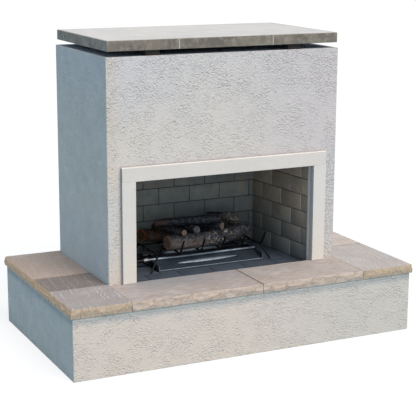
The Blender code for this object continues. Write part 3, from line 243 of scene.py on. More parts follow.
def wire_skip_trowel(web, place):
    """Skip-trowelled coat: small flat-topped crumbs with hollows between, calmer ground and small pits."""
    x, y, z = web.parts(place)
    bent = web.bent(place, 30.0, 0.020)
    field = web.noise(bent, 0.0118, 2.0, 0.55, 0.2)
    hollow = field.fall(0.30, 0.44)
    crumbs = web.cells(bent, 0.0120).fall(0.18, 0.56) * web.noise(place, 0.030, 2.0).rise(0.40, 0.56)
    beside_mouth = abs(x).rise(0.70, 0.74) * z.fall(1.12, 1.32) * z.rise(0.44, 0.50) * y.fall(-0.276, -0.270)
    crowd = web.noise(place, 0.06, 1.0) + beside_mouth * 0.15
    pit = web.cells(bent, 0.024).fall(0.08, 0.20) * crowd.rise(0.52, 0.62)
    calm = beside_mouth * x.fall(-0.1, 0.1) * z.fall(0.55, 0.75, 0.5)
    cover = web.noise(place, 0.11, 3.0, 0.6, 0.4).rise(0.36, 0.60)
    worked = (cover * 0.70 + z.step(1.25, 1.80, 0.28, 0.60)) * (1.0 - calm)
    relief = (field.rise(0.44, 0.57) * 0.45 - hollow * 0.45 + crumbs * 0.8) * worked
    return {"Height": relief + web.noise(place, 0.005, 3.0, 0.7) * 0.25 - pit * 0.9, "Pit": pit,
            "Hollow": hollow * worked}


def wire_box_edge(web, place, low, high, width):
    """How near a point on a box's face is to one of the box's edges, 1 on the edge."""
    x, y, z = web.parts(web.vectors("MINIMUM", web.vectors("SUBTRACT", place, low),
                                    web.vectors("SUBTRACT", high, place)))
    second = web.maths("MAXIMUM", web.maths("MINIMUM", x, y), web.maths("MINIMUM", web.maths("MAXIMUM", x, y), z))
    ragged = web.noise(place, 0.012, 3.0, 0.6) * width
    return {"Edge": second.fall(ragged * 0.5, ragged * 2.0)}


def wire_soot(web, place, clean, black):
    """Soot that thickens upwards from one level to another, with a ragged edge."""
    level = web.parts(place)[2] + (web.noise(place, 0.22, 4.0, 0.6) - 0.5) * 0.5
    return {"Share": level.rise(clean, black)}


def wire_veins(web, place, spacing, length, width, sway, wiggle, rarity):
    """Thin wandering veins that run along Y, come and go, and keep their own distance from each other."""
    x, y, _ = web.parts(place)
    lane = (x + (web.noise(place, wiggle, 2.0) - 0.5) * sway) / spacing
    number = web.maths("FLOOR", lane)
    chance = web.put("ShaderNodeTexWhiteNoise", {"W": number}, noise_dimensions="1D")
    away = abs(web.maths("FRACT", lane) - ((chance - 0.5) * 0.7 + 0.5)) * spacing
    present = web.noise(web.spot(number * 7.31, y / length), 1.0, 1.0).rise(rarity, rarity + 0.16)
    return {"Vein": away.fall(width * 0.35, width) * present}


weathering, grain, skip_trowel, box_edge, soot, veins = (
    node_group(name, "ShaderNodeTree", wire, {"Place": ORIGIN, **takes}) for name, wire, takes in (
        ("weathering", wire_weathering, {"Fineness": 4.0, "Base": GREY, "Dark": GREY, "Pale": GREY, "Speck": GREY,
                                         "Patches": 0.6, "Specks": 0.2}),
        ("mineral_grain", wire_grain, {"Fineness": 90.0, "Roughness": 0.8}),
        ("skip_trowel", wire_skip_trowel, {}),
        ("box_edge_wear", wire_box_edge, {"Low": ORIGIN, "High": (1.0, 1.0, 1.0), "Width": 0.003}),
        ("soot", wire_soot, {"Clean": 0.5, "Black": 1.2}),
        ("veins", wire_veins, {"Spacing": 0.06, "Length": 0.13, "Width": 0.005, "Sway": 0.02, "Wiggle": 0.04,
                               "Rarity": 0.5})))


# Finishes

SLAB_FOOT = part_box("coping_front_left")[0].z
SLAB_TOPS = ((158, 140, 127), (110, 100, 94), (150, 141, 136), (165, 152, 144), (172, 158, 148), (175, 165, 157),
             (189, 174, 163), (168, 156, 146))
RUST_SHARE = 0.3
WORN_SHARE = 0.7
SHADED_SIDE = (128, 138, 146)
OPEN_GRAIN = (0.4, 6.0, 6.0)


def stone_like(base, dark, pale, fineness=4.0, grain_size=90.0, roughness=0.8, relief=0.0008, patches=0.6,
               specks=0.25):
    """The wiring of a plain mineral surface: weathered colour and fine grain."""
    def wire(web, place):
        colour = web.group(weathering, Place=place, Fineness=fineness, Base=tone(*base), Dark=tone(*dark),
                           Pale=tone(*pale), Speck=tone(*dark), Patches=patches, Specks=specks)["Colour"]
        grains = web.group(grain, Place=place, Fineness=grain_size, Roughness=roughness)
        return {"Base Color": colour, "Roughness": grains["Roughness"],
                "Normal": web.bump(grains["Height"], relief)}
    return wire


def wire_stucco(web, place):
    """Pale acrylic stucco with a skip-trowelled relief, with painted warm shade in its hollows and pits."""
    x, y, z = web.parts(place)
    trowelled = web.group(skip_trowel, Place=place)
    plain = web.group(weathering, Place=place, Fineness=1.7, Base=tone(211, 199, 184), Dark=tone(204, 195, 188),
                      Pale=tone(214, 201, 185), Speck=tone(186, 178, 168), Patches=0.55, Specks=0.15)["Colour"]
    above = z.rise(0.435, 0.448)
    below = 1.0 - above
    front = web.maths("MAXIMUM", y.fall(-0.648, -0.640), y.fall(-0.2775, -0.270) * above)
    shaded = 1.0 - front
    # Painted shade: the stucco just above the lintel is darkened where it meets the lintel's top.
    lintel_crease_shade = abs(x).fall(0.722, 0.736) * (z.rise(1.180, 1.186) * front)
    right_of_mouth = x.rise(0.715, 0.735, 0.8) * (above * z.fall(1.10, 1.30)) * y.fall(-0.276, -0.270)
    mottle = web.mix(web.noise(place, 0.012, 3.0, 0.6).rise(0.40, 0.62), (178, 171, 167), (210, 203, 195))
    ragged = z + web.noise(place, 0.05, 3.0) * 0.024
    # Painted shadow: a blue-grey band on the hearth coat just under the coping's overhang.
    coping_shadow = ragged.rise(SLAB_FOOT - 0.056, SLAB_FOOT - 0.008) * below
    streaks = web.noise(web.stretch(place, (1.0, 0.45, 0.55)), 0.050, 5.0, 0.66)
    colour = web.coats(
        plain,
        # Painted shade: the hollows and pits are darkened and warmed.
        (trowelled["Hollow"] * 0.22, (160, 146, 130)),
        (trowelled["Pit"], (150, 140, 128)),
        (z.fall(0.40, 0.62, 0.45) * front, (214, 191, 170)),
        (z.rise(1.25, 1.9, 0.3), (200, 195, 197)),
        (x.rise(-0.2, 0.9, 0.9) * below, (203, 192, 177)),
        (x.rise(-0.15, 0.70, 0.9) * above, (204, 192, 184)),
        (x.fall(-0.79, -0.70, 0.55) * (z.rise(0.90, 1.20) * front), (206, 189, 170)),
        (x.fall(-0.730, -0.715, 0.5) * (z.fall(0.95, 1.15) * (above * front)), (202, 195, 186)),
        (lintel_crease_shade * z.fall(1.188, 1.240, 0.50), (186, 180, 178)),
        (lintel_crease_shade * z.fall(1.187, 1.202, 0.80), (160, 158, 160)),
        (right_of_mouth, mottle),
        (coping_shadow * z.step(SLAB_FOOT - 0.024, SLAB_FOOT - 0.006, 0.9, 0.3), (168, 166, 160)),
        # Painted light: a paler strip just under the coping on the front lifts the shadow there.
        (z.rise(SLAB_FOOT - 0.022, SLAB_FOOT - 0.008, 0.42) * below * front, (250, 238, 212)),
        (shaded * streaks.rise(0.50, 0.66, 0.17), (170, 166, 160)),
        (shaded * streaks.fall(0.34, 0.50, 0.19), (240, 228, 212)),
        # Painted cool light: the tower's left face is tinted blue-grey low down, against the warm light bounced off
        # the coping.
        (x.fall(-0.8095, -0.8060) * above * z.fall(0.45, 0.95, 0.6), (203, 206, 207)))
    return {"Base Color": colour, "Roughness": trowelled["Hollow"].step(0.0, 1.0, 0.82, 0.95),
            "Normal": web.bump(trowelled["Height"], 0.0027)}


def wire_coping(web, place):
    """Split sandstone: each slab's own top colour with veins, tan struck faces, brown painted shade along the ridges
    between scoops, painted blue-grey shade before the mouth and a painted warm tint on the left struck faces.
    """
    slab, side, lengthways = (web.attribute(name) for name in ("slab", "side", "lengthways"))
    x, y, _ = web.parts(place)
    own = web.put("ShaderNodeValToRGB", {0: slab})
    stops = own.socket.node.color_ramp
    stops.interpolation = "CONSTANT"
    while len(stops.elements) < len(SLAB_TOPS):
        stops.elements.new(0.5)
    for index, colour in enumerate(SLAB_TOPS):
        stops.elements[index].position = index / len(SLAB_TOPS)
        stops.elements[index].color = tone(*colour)

    crossways = 1.0 - lengthways
    bed = (lengthways * web.noise(web.stretch(place, (0.12, 1.0, 1.0), (0, 0, 0.04)), 0.007, 3.0)
           + crossways * web.noise(web.stretch(place, (1.0, 0.15, 1.0), (0, 0, 0.04)), 0.008, 3.0))
    bedding = lengthways * 0.75 + 0.25
    patchy = web.noise(web.moved(place, (3.1, 0.4, 0.0)), 0.11, 2.0)
    rich = slab.step(0.22, 0.28, 0.4, 1.0) * patchy.step(0.36, 0.52, 0.1, 1.0)

    def veined(turn, beside, share, **values):
        """Veins at a turn, and the shade that lies along their sides."""
        start = web.stretch(place, (1.0, 1.0, 1.0), (0, 0, turn))
        return [web.group(veins, Place=spot, **values)["Vein"] * share for spot in (start, web.moved(start, beside))]

    white, dark = veined(0.12, (0.0050, 0.001, 0.0), crossways * rich, Spacing=0.050, Length=0.16, Width=0.0048,
                         Sway=0.050, Wiggle=0.045, Rarity=0.36)
    streak, shade = veined(math.pi / 2 - 0.10, (0.0065, 0.0, 0.0), lengthways, Spacing=0.034, Length=0.26,
                           Width=0.0045, Sway=0.030, Wiggle=0.085, Rarity=0.52)
    # Painted shade: the slab tops in front of the firebox mouth turn blue-grey.
    mouth_shade = y.rise(-0.56, -0.36) * abs(x).fall(0.60, 0.78) * x.step(-0.35, 0.35, 0.50, 0.14)
    clouds = web.noise(place, 0.14, 5.0, 0.62)
    top = web.coats(
        own,
        (clouds.rise(0.42, 0.70, 0.22), (140, 120, 106)),
        (clouds.fall(0.30, 0.46, 0.22), (200, 190, 184)),
        (bedding * bed.rise(0.52, 0.62, 0.26), (206, 194, 186)),
        (bedding * bed.fall(0.38, 0.48, 0.44), (124, 110, 102)),
        (dark * 0.38, (96, 84, 78)),
        (shade * 0.26, (118, 104, 94)),
        (white * 0.44, (222, 212, 204)),
        (streak * 0.22, (222, 210, 198)),
        (mouth_shade, (128, 134, 140)),
        (web.attribute("joint"), (80, 64, 53)))
    face = web.coats(
        (196, 175, 156),
        (web.noise(place, 0.045, 5.0, 0.65).rise(0.36, 0.68), (180, 158, 139)),
        (web.noise(place, 0.011, 3.0, 0.6).rise(0.58, 0.70, 0.5), (206, 192, 172)),
        (abs(slab - 0.5).rise(0.15, 0.17, 0.55), (172, 149, 116)),
        # Painted warm light: the struck faces on the left side, in cool shade, are tinted warm.
        (web.attribute("warm") * 0.9, (234, 184, 142)),
        # Painted shade: brown along the ridges between the struck scoops.
        (web.attribute("ridge") * 0.46, (118, 90, 68)))
    rough = web.noise(place, 0.010, 5.0, 0.7)
    shells = web.cells(web.stretch(place, (1.0, 1.0, 0.75), (0.5, 0.3, 0.0)), 0.030)
    height = (rough * 0.35 + (white + streak * 0.5 - dark) * 0.25 + (bed * bedding) * 0.45
              + (shells * side) * 0.9)
    return {"Base Color": web.mix(side, top, face), "Roughness": rough.step(0.3, 0.7, 0.70, 0.90),
            "Normal": web.bump(height, 0.005, 0.8)}


def brick_like(dull, bright, patch, speck, sooty, foot_shade=None, ends=0.0, corner_gains=None):
    """The wiring of a brick finish, each brick its own tint, with the foot courses greyed as painted shade and the
    brick ends painted pale as a painted highlight.

    The last value scales the colour by gains at the wall's top left, top right, foot left and foot right.
    """
    def wire(web, place):
        x, _, z = web.parts(place)
        tint = web.attribute("tint")
        apart = web.moved(place, web.spot(tint * 9.0, tint * 5.0))
        black = web.group(soot, Place=place, Clean=0.45, Black=1.5)["Share"]
        colour = web.coats(
            dull,
            (tint, bright),
            (web.noise(apart, 0.09, 5.0, 0.65).rise(0.36, 0.68, 0.7), patch),
            (web.noise(apart, 0.012, 2.0, 0.6).rise(0.60, 0.74, 0.5), speck),
            (black * sooty, (52, 50, 48)))
        # Painted shade: the foot courses are greyed.
        if foot_shade:
            colour = web.mix(z.fall(0.44, 0.92, 0.85), colour, foot_shade)
        if corner_gains:
            across = x.rise(-0.45, 0.45)
            top, foot = (web.mix(across, (*left, 1.0), (*right, 1.0)) for left, right in corner_gains)
            colour = web.vectors("MULTIPLY", colour, web.mix(z.rise(0.78, 1.02), foot, top))
        # Painted highlight: the brick ends, lit from the mouth, are painted pale.
        if ends:
            colour = web.mix(web.attribute("end") * ends, colour, (238, 234, 226))
        grains = web.group(grain, Place=apart, Fineness=70.0, Roughness=0.8)
        height = grains["Height"] + web.cells(apart, 0.009).rise(0.08, 0.22) * 0.3
        return {"Base Color": colour, "Roughness": grains["Roughness"], "Normal": web.bump(height, 0.0022)}
    return wire


def wire_bark(web, place):
    """Burnt bark: near black, blue-grey on its swells, brown low down, with ash cracks where it is marked."""
    crack, brown, rust, pale, ash = (web.attribute(name) for name in ("crack", "brown", "rust", "pale", "ash"))
    around = web.put("ShaderNodeUVMap", uv_map="bark")
    fibres = web.noise(web.stretch(around, (14.0, 26.0, 1.0)), 1.0, 5.0, 0.62, 0.6)
    thread = fibres.rise(0.35, 0.65)
    swells = web.noise(place, 0.019, 4.0, 0.6).rise(0.42, 0.64)
    umber = web.coats((94, 82, 74), (thread, (130, 117, 107)), (swells.fall(0.0, 0.7, 0.30), (34, 31, 32)))
    cracks = web.cells(web.bent(place, 70.0, 0.012), 0.026, "DISTANCE_TO_EDGE").fall(0.015, 0.065)
    flakes = web.maths("MAXIMUM", cracks * web.noise(place, 0.030, 2.0).rise(0.46, 0.58),
                       web.noise(place, 0.010, 3.0, 0.6, 1.0).rise(0.73, 0.79))
    colour = web.coats(
        (20, 20, 22),
        (swells, (62, 66, 76)),
        (brown, umber),
        (rust * web.noise(place, 0.026, 3.0, 0.6).rise(0.36, 0.60), web.mix(thread, (66, 44, 34), (110, 72, 50))),
        # Partly painted light: pale lightens the knob's thick end, which sits in shade.
        (pale, web.mix(swells, (118, 100, 84), (190, 172, 152))),
        (fibres.rise(0.58, 0.72, 0.55), (24, 22, 23)),
        (crack * 0.8, (12, 11, 11)),
        (ash * flakes, (190, 180, 165)))
    return {"Base Color": colour, "Roughness": fibres.step(0.3, 0.7, 0.50, 0.75),
            "Normal": web.bump(fibres - crack * 0.6, 0.0016)}


def wire_sawn_end(web, place):
    """A sawn and scorched log end: growth rings, a tan rim and a brown middle, charred where it isn't marked."""
    reach, fresh = web.attribute("reach"), web.attribute("brown")
    wobble = web.noise(place, 0.02, 3.0) * 0.22
    rings = web.maths("SINE", (reach + wobble) * 40.0)
    rim = (reach + wobble * 0.8).rise(0.74, 1.00) * web.noise(place, 0.022, 3.0, 0.6).rise(0.38, 0.56)
    freshest = fresh.rise(0.92, 0.99)
    wood = web.coats(web.mix(freshest, (132, 114, 102), (126, 90, 66)),
                     (rim, web.mix(freshest, (200, 150, 106), (255, 152, 72))),
                     (rings.rise(-0.2, 0.9, 0.45), (80, 52, 36)))
    char = web.mix(web.noise(place, 0.016, 4.0, 0.6).rise(0.35, 0.65), (52, 58, 68), (86, 92, 102))
    blotch = web.noise(place, 0.022, 4.0, 0.6).rise(0.42, 0.62)
    share = fresh - blotch * (1.0 - fresh)
    return {"Base Color": web.mix(share.rise(0.0, 0.7), char, wood),
            "Roughness": rings.step(-1.0, 1.0, 0.9, 0.7), "Normal": web.bump(rings, 0.0006)}


def metal_like(base, worn, rust, roughness, streak=(1.0, 1.0, 1.0), worn_share=0.5, painted_end_shade=None):
    """The wiring of a metal: streaked, rubbed and stained in patches, darkened away from a place along X as painted
    shade.
    """
    def wire(web, place):
        lines = web.noise(web.stretch(place, streak), 0.012, 5.0, 0.7)
        patches = web.noise(place, 0.045, 4.0, 0.6).rise(0.5, 0.7)
        colour = web.coats(base, (lines.rise(0.4, 0.7, worn_share), worn), (patches * RUST_SHARE, rust))
        # Painted shade: the metal darkens away from a middle place along X.
        if painted_end_shade:
            middle, start, end, share = painted_end_shade
            away = abs(web.parts(place)[0] - middle)
            colour = web.mix(away.rise(start, end, share), colour, (40, 44, 50))
        return {"Base Color": colour, "Roughness": lines.step(0.3, 0.7, -0.08, 0.12) + roughness,
                "Normal": web.bump(lines, 0.0004)}
    return wire


def boxed_stone(node, base, dark, pale, worn, left_shade=0.0, **values):
    """The wiring of a stone block with rubbed arrises, and painted shade on its left side by the given share."""
    low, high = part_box(node)
    plain = stone_like(base, dark, pale, **values)

    def wire(web, place):
        made = plain(web, place)
        edge = web.group(box_edge, Place=place, Low=low, High=high, Width=0.003)["Edge"]
        # Painted shade on the block's left side.
        side = web.parts(place)[0].fall(low.x + 0.0004, low.x + 0.0014, left_shade)
        made["Base Color"] = web.coats(made["Base Color"], (edge * WORN_SHARE, worn), (side, SHADED_SIDE))
        return made
    return wire


# A stone's name and its base, dark and pale colours, then the other values of stone_like in their order.
STONES = {
    "masonry": ("block_masonry", (150, 147, 141), (128, 125, 120), (170, 167, 160), 6.0, 60.0, 0.9, 0.003),
    "cement_board": ("smooth_render", (247, 241, 230), (236, 230, 220), (250, 245, 236), 5.0, 120.0, 0.85),
    "flue_clay": ("flue_clay", (120, 78, 58), (70, 50, 42), (140, 96, 74), 7.0, 90.0, 0.8, 0.001),
    "crown_mortar": ("crown_mortar", (150, 158, 166), (120, 128, 136), (170, 174, 178), 7.0, 70.0, 0.9, 0.002),
    "cap_stone": ("cap_stone", (195, 188, 180), (186, 180, 174), (203, 196, 187), 3.0, 110.0, 0.7, 0.0006, 0.7),
    "grout": ("tile_grout", (196, 190, 176), (160, 154, 142), (214, 208, 196), 30.0, 150.0, 0.9),
    "joint_sand": ("joint_sand", (160, 147, 138), (138, 124, 114), (176, 164, 154), 20.0, 120.0, 0.9),
    "joint_earth": ("joint_earth", (116, 96, 82), (92, 76, 64), (134, 112, 96), 20.0, 120.0, 0.9),
    "stone_paste": ("stone_paste", (216, 205, 191), (211, 201, 189), (222, 213, 200), 3.0, 75.0, 0.75),
    # The spacers' near-black is partly painted shade.
    "spacer": ("cap_spacer", (40, 36, 32), (30, 27, 25), (52, 47, 42), 12.0, 90.0, 0.85, 0.0015),
    "mortar": ("fire_mortar", (78, 78, 76), (56, 57, 58), (104, 102, 98), 14.0, 80.0, 0.95, 0.002),
    "lever_red": ("red_lever_vinyl", (168, 34, 30), (140, 26, 24), (184, 48, 42), 20.0, 160.0, 0.45, 0.0002),
}
# A metal's name and how metallic it is, then the values of metal_like in their order.
METALS = {
    "black_steel": ("blackened_steel", 0.6, (14, 14, 15), (34, 34, 37), (36, 28, 24), 0.5),
    "pan_steel": ("heat_blued_steel", 0.5, (60, 70, 80), (80, 91, 102), (54, 58, 62), 0.36, (0.2, 2.0, 2.0), 0.4),
    # The hem and bead steels are paler copies of the pan steel, a painted highlight on the lip's hem, the apron bead
    # and the corner rods.
    "hem_steel": ("rubbed_hem_steel", 0.8, (112, 124, 136), (146, 158, 168), (84, 88, 94), 0.40, OPEN_GRAIN),
    "bead_steel": ("rubbed_bead_steel", 0.6, (106, 118, 130), (130, 142, 152), (84, 90, 96), 0.46,
                   (0.4, 4.0, 4.0)),
    "tube_steel": ("burner_tube_steel", 0.8, (122, 136, 149), (152, 166, 176), (100, 98, 96), 0.36, OPEN_GRAIN, 0.5,
                   (-0.2, 0.42, 0.56, 0.6)),
    # The rear tube is a much paler copy of the tube steel, a painted sheen; both tubes' darkened ends are painted
    # shade.
    "rear_tube": ("rear_tube_steel", 0.6, (186, 198, 210), (214, 224, 232), (140, 140, 140), 0.44, OPEN_GRAIN, 0.5,
                  (0.0, 0.17, 0.24, 0.97)),
    "plated": ("plated_fitting", 0.9, (112, 116, 120), (140, 144, 148), (90, 88, 84), 0.48),
    "brass": ("valve_brass", 1.0, (128, 100, 56), (160, 130, 78), (84, 68, 46), 0.45),
    "iron_pipe": ("black_iron_pipe", 0.8, (34, 34, 36), (66, 66, 68), (84, 52, 36), 0.5, (0.5, 5.0, 5.0)),
}
# side_brick is a paler, warmer copy of the firebrick for the side walls, painted light; paving_brick's blue-grey is
# partly painted shade.
BRICKS = {
    "firebrick": ((172, 159, 143), (204, 188, 166), (150, 147, 140), (212, 200, 180), 0.10, (130, 134, 131), 0.0,
                  (((1.30, 1.15, 0.98), (0.78, 0.75, 0.74)), ((1.40, 1.32, 1.28), (1.14, 1.08, 1.08)))),
    "paving_brick": ((48, 58, 70), (62, 71, 82), (44, 52, 63), (86, 92, 98), 0.1),
    "side_brick": ((192, 164, 138), (214, 185, 154), (168, 152, 134), (218, 196, 170), 0.05, (116, 120, 120), 0.5),
}
finishes = {
    **{label: finish(name, stone_like(*values)) for label, (name, *values) in STONES.items()},
    **{label: finish(name, metal_like(*values), Metallic=metallic)
       for label, (name, metallic, *values) in METALS.items()},
    **{label: finish(label, brick_like(*values)) for label, values in BRICKS.items()},
    "stucco": finish("trowelled_stucco", wire_stucco),
    "coping": finish("split_sandstone", wire_coping),
    "bark": finish("burnt_bark", wire_bark, Specular_IOR_Level=0.22),
    "sawn_end": finish("sawn_log_end", wire_sawn_end, Specular_IOR_Level=0.22),
}


# Meshes and pieces

WELD = 1e-5


def clamped(value):
    return min(1.0, max(0.0, value))


def link_mesh(name, mesh):
    """A new object at the origin that shows this mesh."""
    made = bpy.data.objects.new(name, mesh)
    scene.collection.objects.link(made)
    return made


def broad(mesh, face, width):
    """Whether a face is broad beside a rounding of this width."""
    corners = [mesh.vertices[n].co for n in face.vertices]
    around = sum((start - end).length for start, end in zip(corners, [*corners[1:], corners[0]]))
    return face.area > width * around


def as_piece(name, shape, body, stands_for, materials=(), smooth_angle=32, flat=None):
    """Turns a bmesh or a mesh into a finished piece that rides on a body and stands for CAD nodes.

    flat(mesh, face) says which faces are shaded plane, so that roundings don't tilt their light."""
    mesh = shape
    if isinstance(shape, bmesh.types.BMesh):
        mesh = bpy.data.meshes.new(name)
        shape.to_mesh(mesh)
        shape.free()
    for material in materials:
        mesh.materials.append(material)
    mesh.polygons.foreach_set("use_smooth", [True] * len(mesh.polygons))
    mesh.set_sharp_from_angle(angle=math.radians(smooth_angle))
    if flat:
        mesh.polygons.foreach_set("use_smooth", [not flat(mesh, face) for face in mesh.polygons])
    made = link_mesh(name, mesh)
    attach(made, body)
    if stands_for:
        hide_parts(*stands_for)
    return made


def softened(node, width, segments=2):
    """A CAD node's shape, its loose triangles merged into whole faces and its sharp edges rounded."""
    bm = bmesh.new()
    bm.from_mesh(nodes[node].data)
    bmesh.ops.remove_doubles(bm, verts=bm.verts, dist=WELD)
    bmesh.ops.dissolve_limit(bm, angle_limit=math.radians(0.5), verts=bm.verts, edges=bm.edges)
    sharp = [edge for edge in bm.edges
             if len(edge.link_faces) == 2 and edge.calc_face_angle(0) > math.radians(40)]
    bmesh.ops.bevel(bm, geom=sharp, offset=width, offset_type="OFFSET", segments=segments, profile=0.5,
                    affect="EDGES", clamp_overlap=True)
    bmesh.ops.dissolve_degenerate(bm, dist=WELD, edges=bm.edges)
    return bm


def skinned(bm, rings):
    """Joins rings of points that follow each other with four-sided faces."""
    for lower, upper in zip(rings, rings[1:]):
        for n in range(len(lower)):
            bm.faces.new((lower[n - 1], lower[n], upper[n], upper[n - 1]))


def closed_off(bm):
    """Turns a bmesh's faces outwards and splits the many-sided ones."""
    bmesh.ops.recalc_face_normals(bm, faces=bm.faces)
    bmesh.ops.triangulate(bm, faces=[face for face in bm.faces if len(face.verts) > 4])
    return bm


def turned(start, direction, profile, sides=40):
    """A round piece: profile lists (distance along the axis, radius), and its ends are closed."""
    axis = Vector(direction).normalized()
    side = axis.orthogonal().normalized()
    up = axis.cross(side)
    bm = bmesh.new()
    rings = []
    for along, radius in profile:
        centre = Vector(start) + axis * along
        rings.append([bm.verts.new(centre + radius * (side * math.cos(2 * math.pi * n / sides)
                                                      + up * math.sin(2 * math.pi * n / sides)))
                      for n in range(sides)])
    skinned(bm, rings)
    bm.faces.new(rings[0])
    bm.faces.new(list(reversed(rings[-1])))
    bmesh.ops.recalc_face_normals(bm, faces=bm.faces)
    return bm


def add_to(bm, other):
    """Adds another bmesh's shape and frees it."""
    spare = bpy.data.meshes.new("spare")
    other.to_mesh(spare)
    other.free()
    bm.from_mesh(spare)
    bpy.data.meshes.remove(spare)


# Geometry trees

def grown(tree, values, start=None, rounding=0.0):
    """Runs a geometry tree on a start mesh and gives back the plain mesh."""
    carrier = link_mesh("carrier", start or bpy.data.meshes.new("carrier"))
    modifier = carrier.modifiers.new("grow", "NODES")
    modifier.node_group = tree
    for item in tree.interface.items_tree:
        if item.item_type == "SOCKET" and item.in_out == "INPUT" and item.name in values:
            modifier[item.identifier] = values[item.name]
    if rounding:
        edge = carrier.modifiers.new("round", "BEVEL")
        edge.width = rounding
        edge.segments = 2
    mesh = bpy.data.meshes.new_from_object(carrier.evaluated_get(bpy.context.evaluated_depsgraph_get()))
    bpy.data.objects.remove(carrier)
    return mesh


def store(web, shape, name, value, kind="FLOAT", domain="POINT"):
    return web.put("GeometryNodeStoreNamedAttribute", {"Geometry": shape, "Name": name, "Value": value},
                   data_type=kind, domain=domain)


def stored(web, name, kind="FLOAT"):
    return web.put("GeometryNodeInputNamedAttribute", {"Name": name}, data_type=kind)


def dressed(web, shape, material):
    return web.put("GeometryNodeSetMaterial", {"Geometry": shape, "Material": material})


def made_real(web, shape):
    return web.put("GeometryNodeRealizeInstances", {"Geometry": shape})


def wire_courses(web, _, length, height, thickness, brick, course, joint, first_joint, sunk, lean, columns, rows,
                 seed, brick_finish, mortar_finish):
    """Bricks in running bond on a mortar bed, faces at Y = 0, each brick with its own tint and lean."""
    index = web.put("GeometryNodeInputIndex")
    column = web.maths("MODULO", index, columns)
    row = web.maths("FLOOR", index / columns)
    start = (column + web.maths("MODULO", row, 2.0) * 0.5 - 1.0) * brick + (first_joint - brick)
    half = joint / 2.0
    left = web.maths("MAXIMUM", start + half, 0.0)
    right = web.maths("MINIMUM", start + brick - half, length)
    low = row * course + half
    high = web.maths("MINIMUM", (row + 1.0) * course - half, height)
    width, tall = right - left, high - low
    middle = web.spot((left + right) / 2.0, thickness / 2.0, (low + high) / 2.0)

    points = web.put("GeometryNodeMeshLine", {"Count": columns * rows})
    points = store(web, points, "size", web.spot(width, thickness, tall), "FLOAT_VECTOR")
    points = store(web, points, "least", web.maths("MINIMUM", width, tall))
    points = web.put("GeometryNodeSetPosition", {"Geometry": points, "Position": middle})
    sliver = web.put("FunctionNodeCompare", {"A": stored(web, "least"), "B": 0.012}, data_type="FLOAT",
                     operation="LESS_THAN")
    points = web.put("GeometryNodeDeleteGeometry", {"Geometry": points, "Selection": sliver}, domain="POINT")
    turn = web.put("FunctionNodeRandomValue", {0: (-1.0, -1.0, -1.0), 1: (1.0, 1.0, 1.0), "Seed": seed},
                   data_type="FLOAT_VECTOR")
    facing = abs(web.parts(web.put("GeometryNodeInputNormal"))[0])
    cube = store(web, web.put("GeometryNodeMeshCube", {"Size": (1.0, 1.0, 1.0)}), "end", facing, domain="FACE")
    bricks = web.put("GeometryNodeInstanceOnPoints", {
        "Points": points, "Instance": cube, "Rotation": web.scaled(turn, lean),
        "Scale": stored(web, "size", "FLOAT_VECTOR")})
    tint = web.put("FunctionNodeRandomValue", {2: 0.0, 3: 1.0, "Seed": seed}, 1, data_type="FLOAT")
    bricks = dressed(web, made_real(web, store(web, bricks, "tint", tint, domain="INSTANCE")), brick_finish)

    bed = web.put("GeometryNodeMeshCube", {"Size": web.spot(length, thickness - sunk, height)})
    bed = web.put("GeometryNodeTransform", {
        "Geometry": bed, "Translation": web.spot(length / 2.0, (thickness + sunk) / 2.0, height / 2.0)})
    joined = web.tree.nodes.new("GeometryNodeJoinGeometry")
    for part in (dressed(web, bed, mortar_finish), bricks):
        web.feed(part, joined.inputs[0])
    return {"Geometry": made_real(web, Wire(web, joined.outputs[0]))}


def wire_rods(web, path, radius, bend, count, pitch, rod_finish):
    """Round rod bent along a path, repeated side by side."""
    bent = web.put("GeometryNodeFilletCurve", {"Curve": web.put("GeometryNodeMeshToCurve", {0: path}),
                                               "Radius": bend, "Count": 6}, mode="POLY")
    ring = web.put("GeometryNodeCurvePrimitiveCircle", {"Resolution": 14, "Radius": radius})
    rod = web.put("GeometryNodeCurveToMesh", {"Curve": bent, "Profile Curve": ring, "Fill Caps": True})
    line = web.put("GeometryNodeMeshLine", {"Count": count, "Offset": web.spot(pitch)})
    many = web.put("GeometryNodeInstanceOnPoints", {"Points": line, "Instance": rod})
    return {"Geometry": dressed(web, made_real(web, many), rod_finish)}


courses_tree = node_group("brick_courses", "GeometryNodeTree", wire_courses, {
    "Geometry": None, "Length": 1.0, "Height": 0.8, "Thickness": 0.06, "Brick": 0.23, "Course": 0.11,
    "Joint": 0.007, "First Joint": 0.1, "Sunk": 0.004, "Lean": 0.004, "Columns": 8, "Rows": 8, "Seed": 1,
    "Brick Finish": None, "Mortar Finish": None})
rods_tree = node_group("round_rods", "GeometryNodeTree", wire_rods, {
    "Geometry": None, "Radius": 0.006, "Bend": 0.016, "Count": 1, "Pitch": 0.1, "Finish": None})


# Firebox

BRICK, COURSE, BRICK_THICKNESS = 0.2325, 0.1125, 0.064
FIREBOX_FRONT, FIREBOX_BACK = -0.2319, 0.4381
FRONT_HALF, BACK_HALF = 0.643, 0.574


def brick_panel(name, node, corner, along, up, back, size, first_joint, seed, brick="firebrick"):
    """A brick-faced panel: its face runs along and up from the corner, and back is its depth."""
    length, height, thickness = size
    mesh = grown(courses_tree, {
        "Length": length, "Height": height, "Thickness": thickness, "Brick": BRICK, "Course": COURSE,
        "Joint": 0.005, "First Joint": first_joint, "Sunk": 0.0045, "Lean": 0.0035, "Columns": 10,
        "Rows": math.ceil(height / COURSE), "Seed": seed, "Brick Finish": finishes[brick],
        "Mortar Finish": finishes["mortar"]}, rounding=0.002)
    place = Matrix((Vector(along).normalized(), Vector(back).normalized(), Vector(up))).transposed().to_4x4()
    place.translation = Vector(corner)
    mesh.transform(place)
    if place.determinant() < 0:
        mesh.flip_normals()
    return as_piece(name, mesh, "fireplace", [node])


